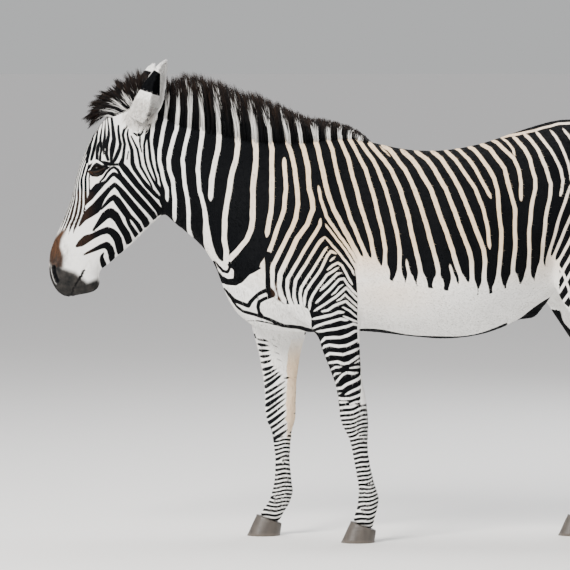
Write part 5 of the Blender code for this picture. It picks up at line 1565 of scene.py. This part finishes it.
def tail_brush(count, steps=5):
    """Long hair that hangs in a spindle round the end of the tail."""
    turn = rng.uniform(0, 2 * math.pi, count)
    out = np.sqrt(rng.random(count))
    begins = rng.uniform(84, 103, count)
    ends = TAIL_SHAPE[0][0] + 0.1 + 22 * rng.beta(1.1, 2.4, count)
    begins = np.maximum(begins, ends + 12)
    share = np.linspace(0, 1, steps + 1)[None]
    level = begins[:, None] + (ends - begins)[:, None] * share
    centre = np.interp(level, TAIL_SHAPE[0], TAIL_SHAPE[1])
    half = np.interp(level, TAIL_SHAPE[0], TAIL_SHAPE[2]) * out[:, None]
    swing = 0.35 * np.sin(level * 0.22 + turn[:, None] * 2)
    x = centre + half * np.cos(turn)[:, None] + 0.5 * swing
    paths = np.stack([x, half * np.sin(turn)[:, None] + swing, level], axis=2)
    outward = np.stack([np.cos(turn), np.sin(turn), 0 * turn], axis=1)
    light = np.where(rng.random(count) < 0.10 + 0.35 * (begins > 97), 0.6, -1.0)
    values = {
        "light": fading(light, steps, 0.75), "shade": rng.random(count),
        "brown": share ** 2 * rng.random(count)[:, None],
    }
    locks = Locks("tail_tufts", "tail_hair", HAIR, steps)
    width = rng.uniform(0.25, 0.45, count) * CM
    locks.add(paths * CM, outward, width, values, np.stack([turn, begins], axis=1))
    return locks.build()


# ---------------------------------------------------------------- eyes and hooves
def triangles_of(work, name):
    """The triangles of a bmesh, which is used up."""
    bmesh.ops.triangulate(work, faces=work.faces)
    mesh = bpy.data.meshes.new(name)
    work.to_mesh(mesh)
    work.free()
    made = arrays_of(mesh)
    bpy.data.meshes.remove(mesh)
    return made


def eye_globe(side, material):
    """A globe with a slightly raised cornea, its iris and pupil stored at its points."""
    work = bmesh.new()
    bmesh.ops.create_uvsphere(work, u_segments=64, v_segments=48, radius=1.0)
    p, f = triangles_of(work, "globe")
    outward = -1 if side == "left" else 1
    turned = p * (1, -outward, 1)
    angle = np.arccos(np.clip(turned @ EYE_OUT, -1, 1))
    place = np.array((EYE_CENTRE[0], EYE_CENTRE[1] * outward, EYE_CENTRE[2]))
    radius = EYE_RADIUS * (1 + 0.045 * hump(angle, 0.45))
    mesh = quick_mesh("eye_globe_" + side, (place + p * radius[:, None]) * CM, f)
    slit = np.hypot(turned @ EYE_SLIT / 0.36, turned @ EYE_UP / 0.19)
    add_values(mesh, {"iris": 0.66 - angle, "pupil": np.where(angle < 1, 1 - slit, -1) * 0.3})
    piece = shown(mesh.name, mesh, material)
    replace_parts(piece, "eye_" + side)


def horn(name, material):
    """A hoof with growth rings, made from its solid."""
    work = bmesh.new()
    work.from_mesh(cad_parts[name].data)
    bmesh.ops.remove_doubles(work, verts=work.verts, dist=1e-5)
    bmesh.ops.subdivide_edges(work, edges=work.edges, cuts=3, use_grid_fill=True)
    p, f = triangles_of(work, "hoof")
    net = Net(f, len(p))
    normal = normals_of(p, f)
    wall = step(p[:, 2] / CM, 0.15, 0.6) * step(-np.abs(normal[:, 2]), -0.85, -0.6)
    smooth = net.smooth(p, 6)
    p = p + (smooth - p) * wall[:, None]
    height = p[:, 2] / CM
    ring = np.cos(2 * math.pi * (height + 0.10 * p[:, 0] / CM) / 0.85) + 0.4 * np.sin(9 * height)
    p = p + normal * (wall * 0.022 * CM * ring)[:, None]
    mesh = quick_mesh("horn_" + name, p, f)
    add_values(mesh, {"worn": step(-p[:, 2] / CM, -1.3, 0.0) * 0.6})
    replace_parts(shown(mesh.name, mesh, material), name)


# ---------------------------------------------------------------- stage
def studio_floor(half=70):
    """A plain pale floor, far wider than the view."""
    mesh = bpy.data.meshes.new("floor")
    corners = [(-half, -half, 0), (half, -half, 0), (half, half, 0), (-half, half, 0)]
    mesh.from_pydata(corners, [], [(0, 1, 2, 3)])
    mesh.materials.append(new_material("floor_paint", (0.78, 0.77, 0.75), 0.8))
    floor = bpy.data.objects.new("floor", mesh)
    bpy.context.scene.collection.objects.link(floor)


def studio_world():
    """Soft light from all round, a little brighter overhead, that meets the floor's tone at the horizon."""
    world = bpy.data.worlds.new("studio")
    world.use_nodes = True
    tree = world.node_tree
    place = tree.nodes.new("ShaderNodeTexCoord")
    split = tree.nodes.new("ShaderNodeSeparateXYZ")
    tree.links.new(place.outputs["Generated"], split.inputs["Vector"])
    height = between(tree, split.outputs["Z"], 0.0, 0.6)
    colour = mixed(tree, height, (0.735, 0.745, 0.75), (1.0, 1.0, 1.03))
    tree.links.new(colour, tree.nodes["Background"].inputs["Color"])
    tree.nodes["Background"].inputs["Strength"].default_value = 0.72
    bpy.context.scene.world = world


def area_light(name, place, target, size, power, colour=(1, 1, 1)):
    """A rectangular lamp of that size and power in watts, turned towards its target."""
    data = bpy.data.lights.new(name, "AREA")
    data.shape = "RECTANGLE"
    data.size, data.size_y = size
    data.energy = power
    data.color = colour
    lamp = bpy.data.objects.new(name, data)
    lamp.location = place
    lamp.rotation_mode = "QUATERNION"
    lamp.rotation_quaternion = (Vector(target) - Vector(place)).to_track_quat("-Z", "Y")
    bpy.context.scene.collection.objects.link(lamp)


def side_camera(target, width, distance, height, sensor=36.0):
    """A long lens that looks at the left side from an angle of height above the level."""
    data = bpy.data.cameras.new("camera")
    data.sensor_width = sensor
    data.lens = sensor * distance / width
    data.clip_end = 5 * distance
    camera = bpy.data.objects.new("camera", data)
    back = Vector((0, -math.cos(height), math.sin(height)))
    camera.location = Vector(target) + back * distance
    camera.rotation_mode = "QUATERNION"
    camera.rotation_quaternion = (-back).to_track_quat("-Z", "Y")
    bpy.context.scene.collection.objects.link(camera)
    bpy.context.scene.camera = camera


# ---------------------------------------------------------------- the model
rng = np.random.default_rng(11)
points, faces, net, labels, PLAIN_SKIN = build_skin()
VALUES = paint(points, faces, labels, nostril_slit(PLAIN_SKIN))
LIE, NORMAL = flow_over(points, faces, labels, net)
VALUES["hang"] = np.abs(LIE[:, 2])
VALUES["shade"] = np.full(len(points), 0.15)
mesh = quick_mesh("skin", points, faces)
add_values(mesh, VALUES)
COAT = coat_material()
HAIR = hair_material()
skin = shown("skin", mesh, COAT)
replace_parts(skin, *FLESH)
GROUND = Ground(points, faces, labels, VALUES, LIE, NORMAL, unwrap(points, labels))
NEAREST = Nearest(points)

short_coat("coat_trunk_left", ("trunk",), 3.2, lambda c: c[:, 1] < 0)
short_coat("coat_trunk_right", ("trunk",), 3.2, lambda c: c[:, 1] >= 0)
short_coat("coat_neck", ("neck",), 5.5)
short_coat("coat_head", ("head",), 10.5)
short_coat("coat_ears", EAR_NAMES, 14.0)
short_coat("coat_forelegs", [name for name in LEGS if "fore" in name], 7.0)
short_coat("coat_hindlegs", [name for name in LEGS if "hind" in name], 5.0)
short_coat("coat_tail", ("tail",), 7.0)
ear_fur()
for node, grow in (("mane", mane), ("forelock", forelock), ("tail_tuft", tail_brush)):
    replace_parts(grow(HAIRS[node]), node)

EYE = eye_material()
HORN = hoof_material()
for side in ("left", "right"):
    eye_globe(side, EYE)
for name in sorted(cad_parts):
    if "hoof" in name:
        horn(name, HORN)

studio_floor()
studio_world()
area_light("key", (-3.5, -5.0, 5.5), (0, 0, 0.9), (2.6, 2.6), 1060, (1.0, 0.97, 0.93))
area_light("top", (0.5, 1.5, 6.0), (0, 0, 1.0), (5, 3), 300)
area_light("back", (3.0, 5.0, 3.5), (0, 0, 0.9), (3, 3), 150, (0.92, 0.95, 1.0))
side_camera(target=(-0.28755, 0.0, 0.905), width=2.0235, distance=20.0, height=LAYOUT_TILT)
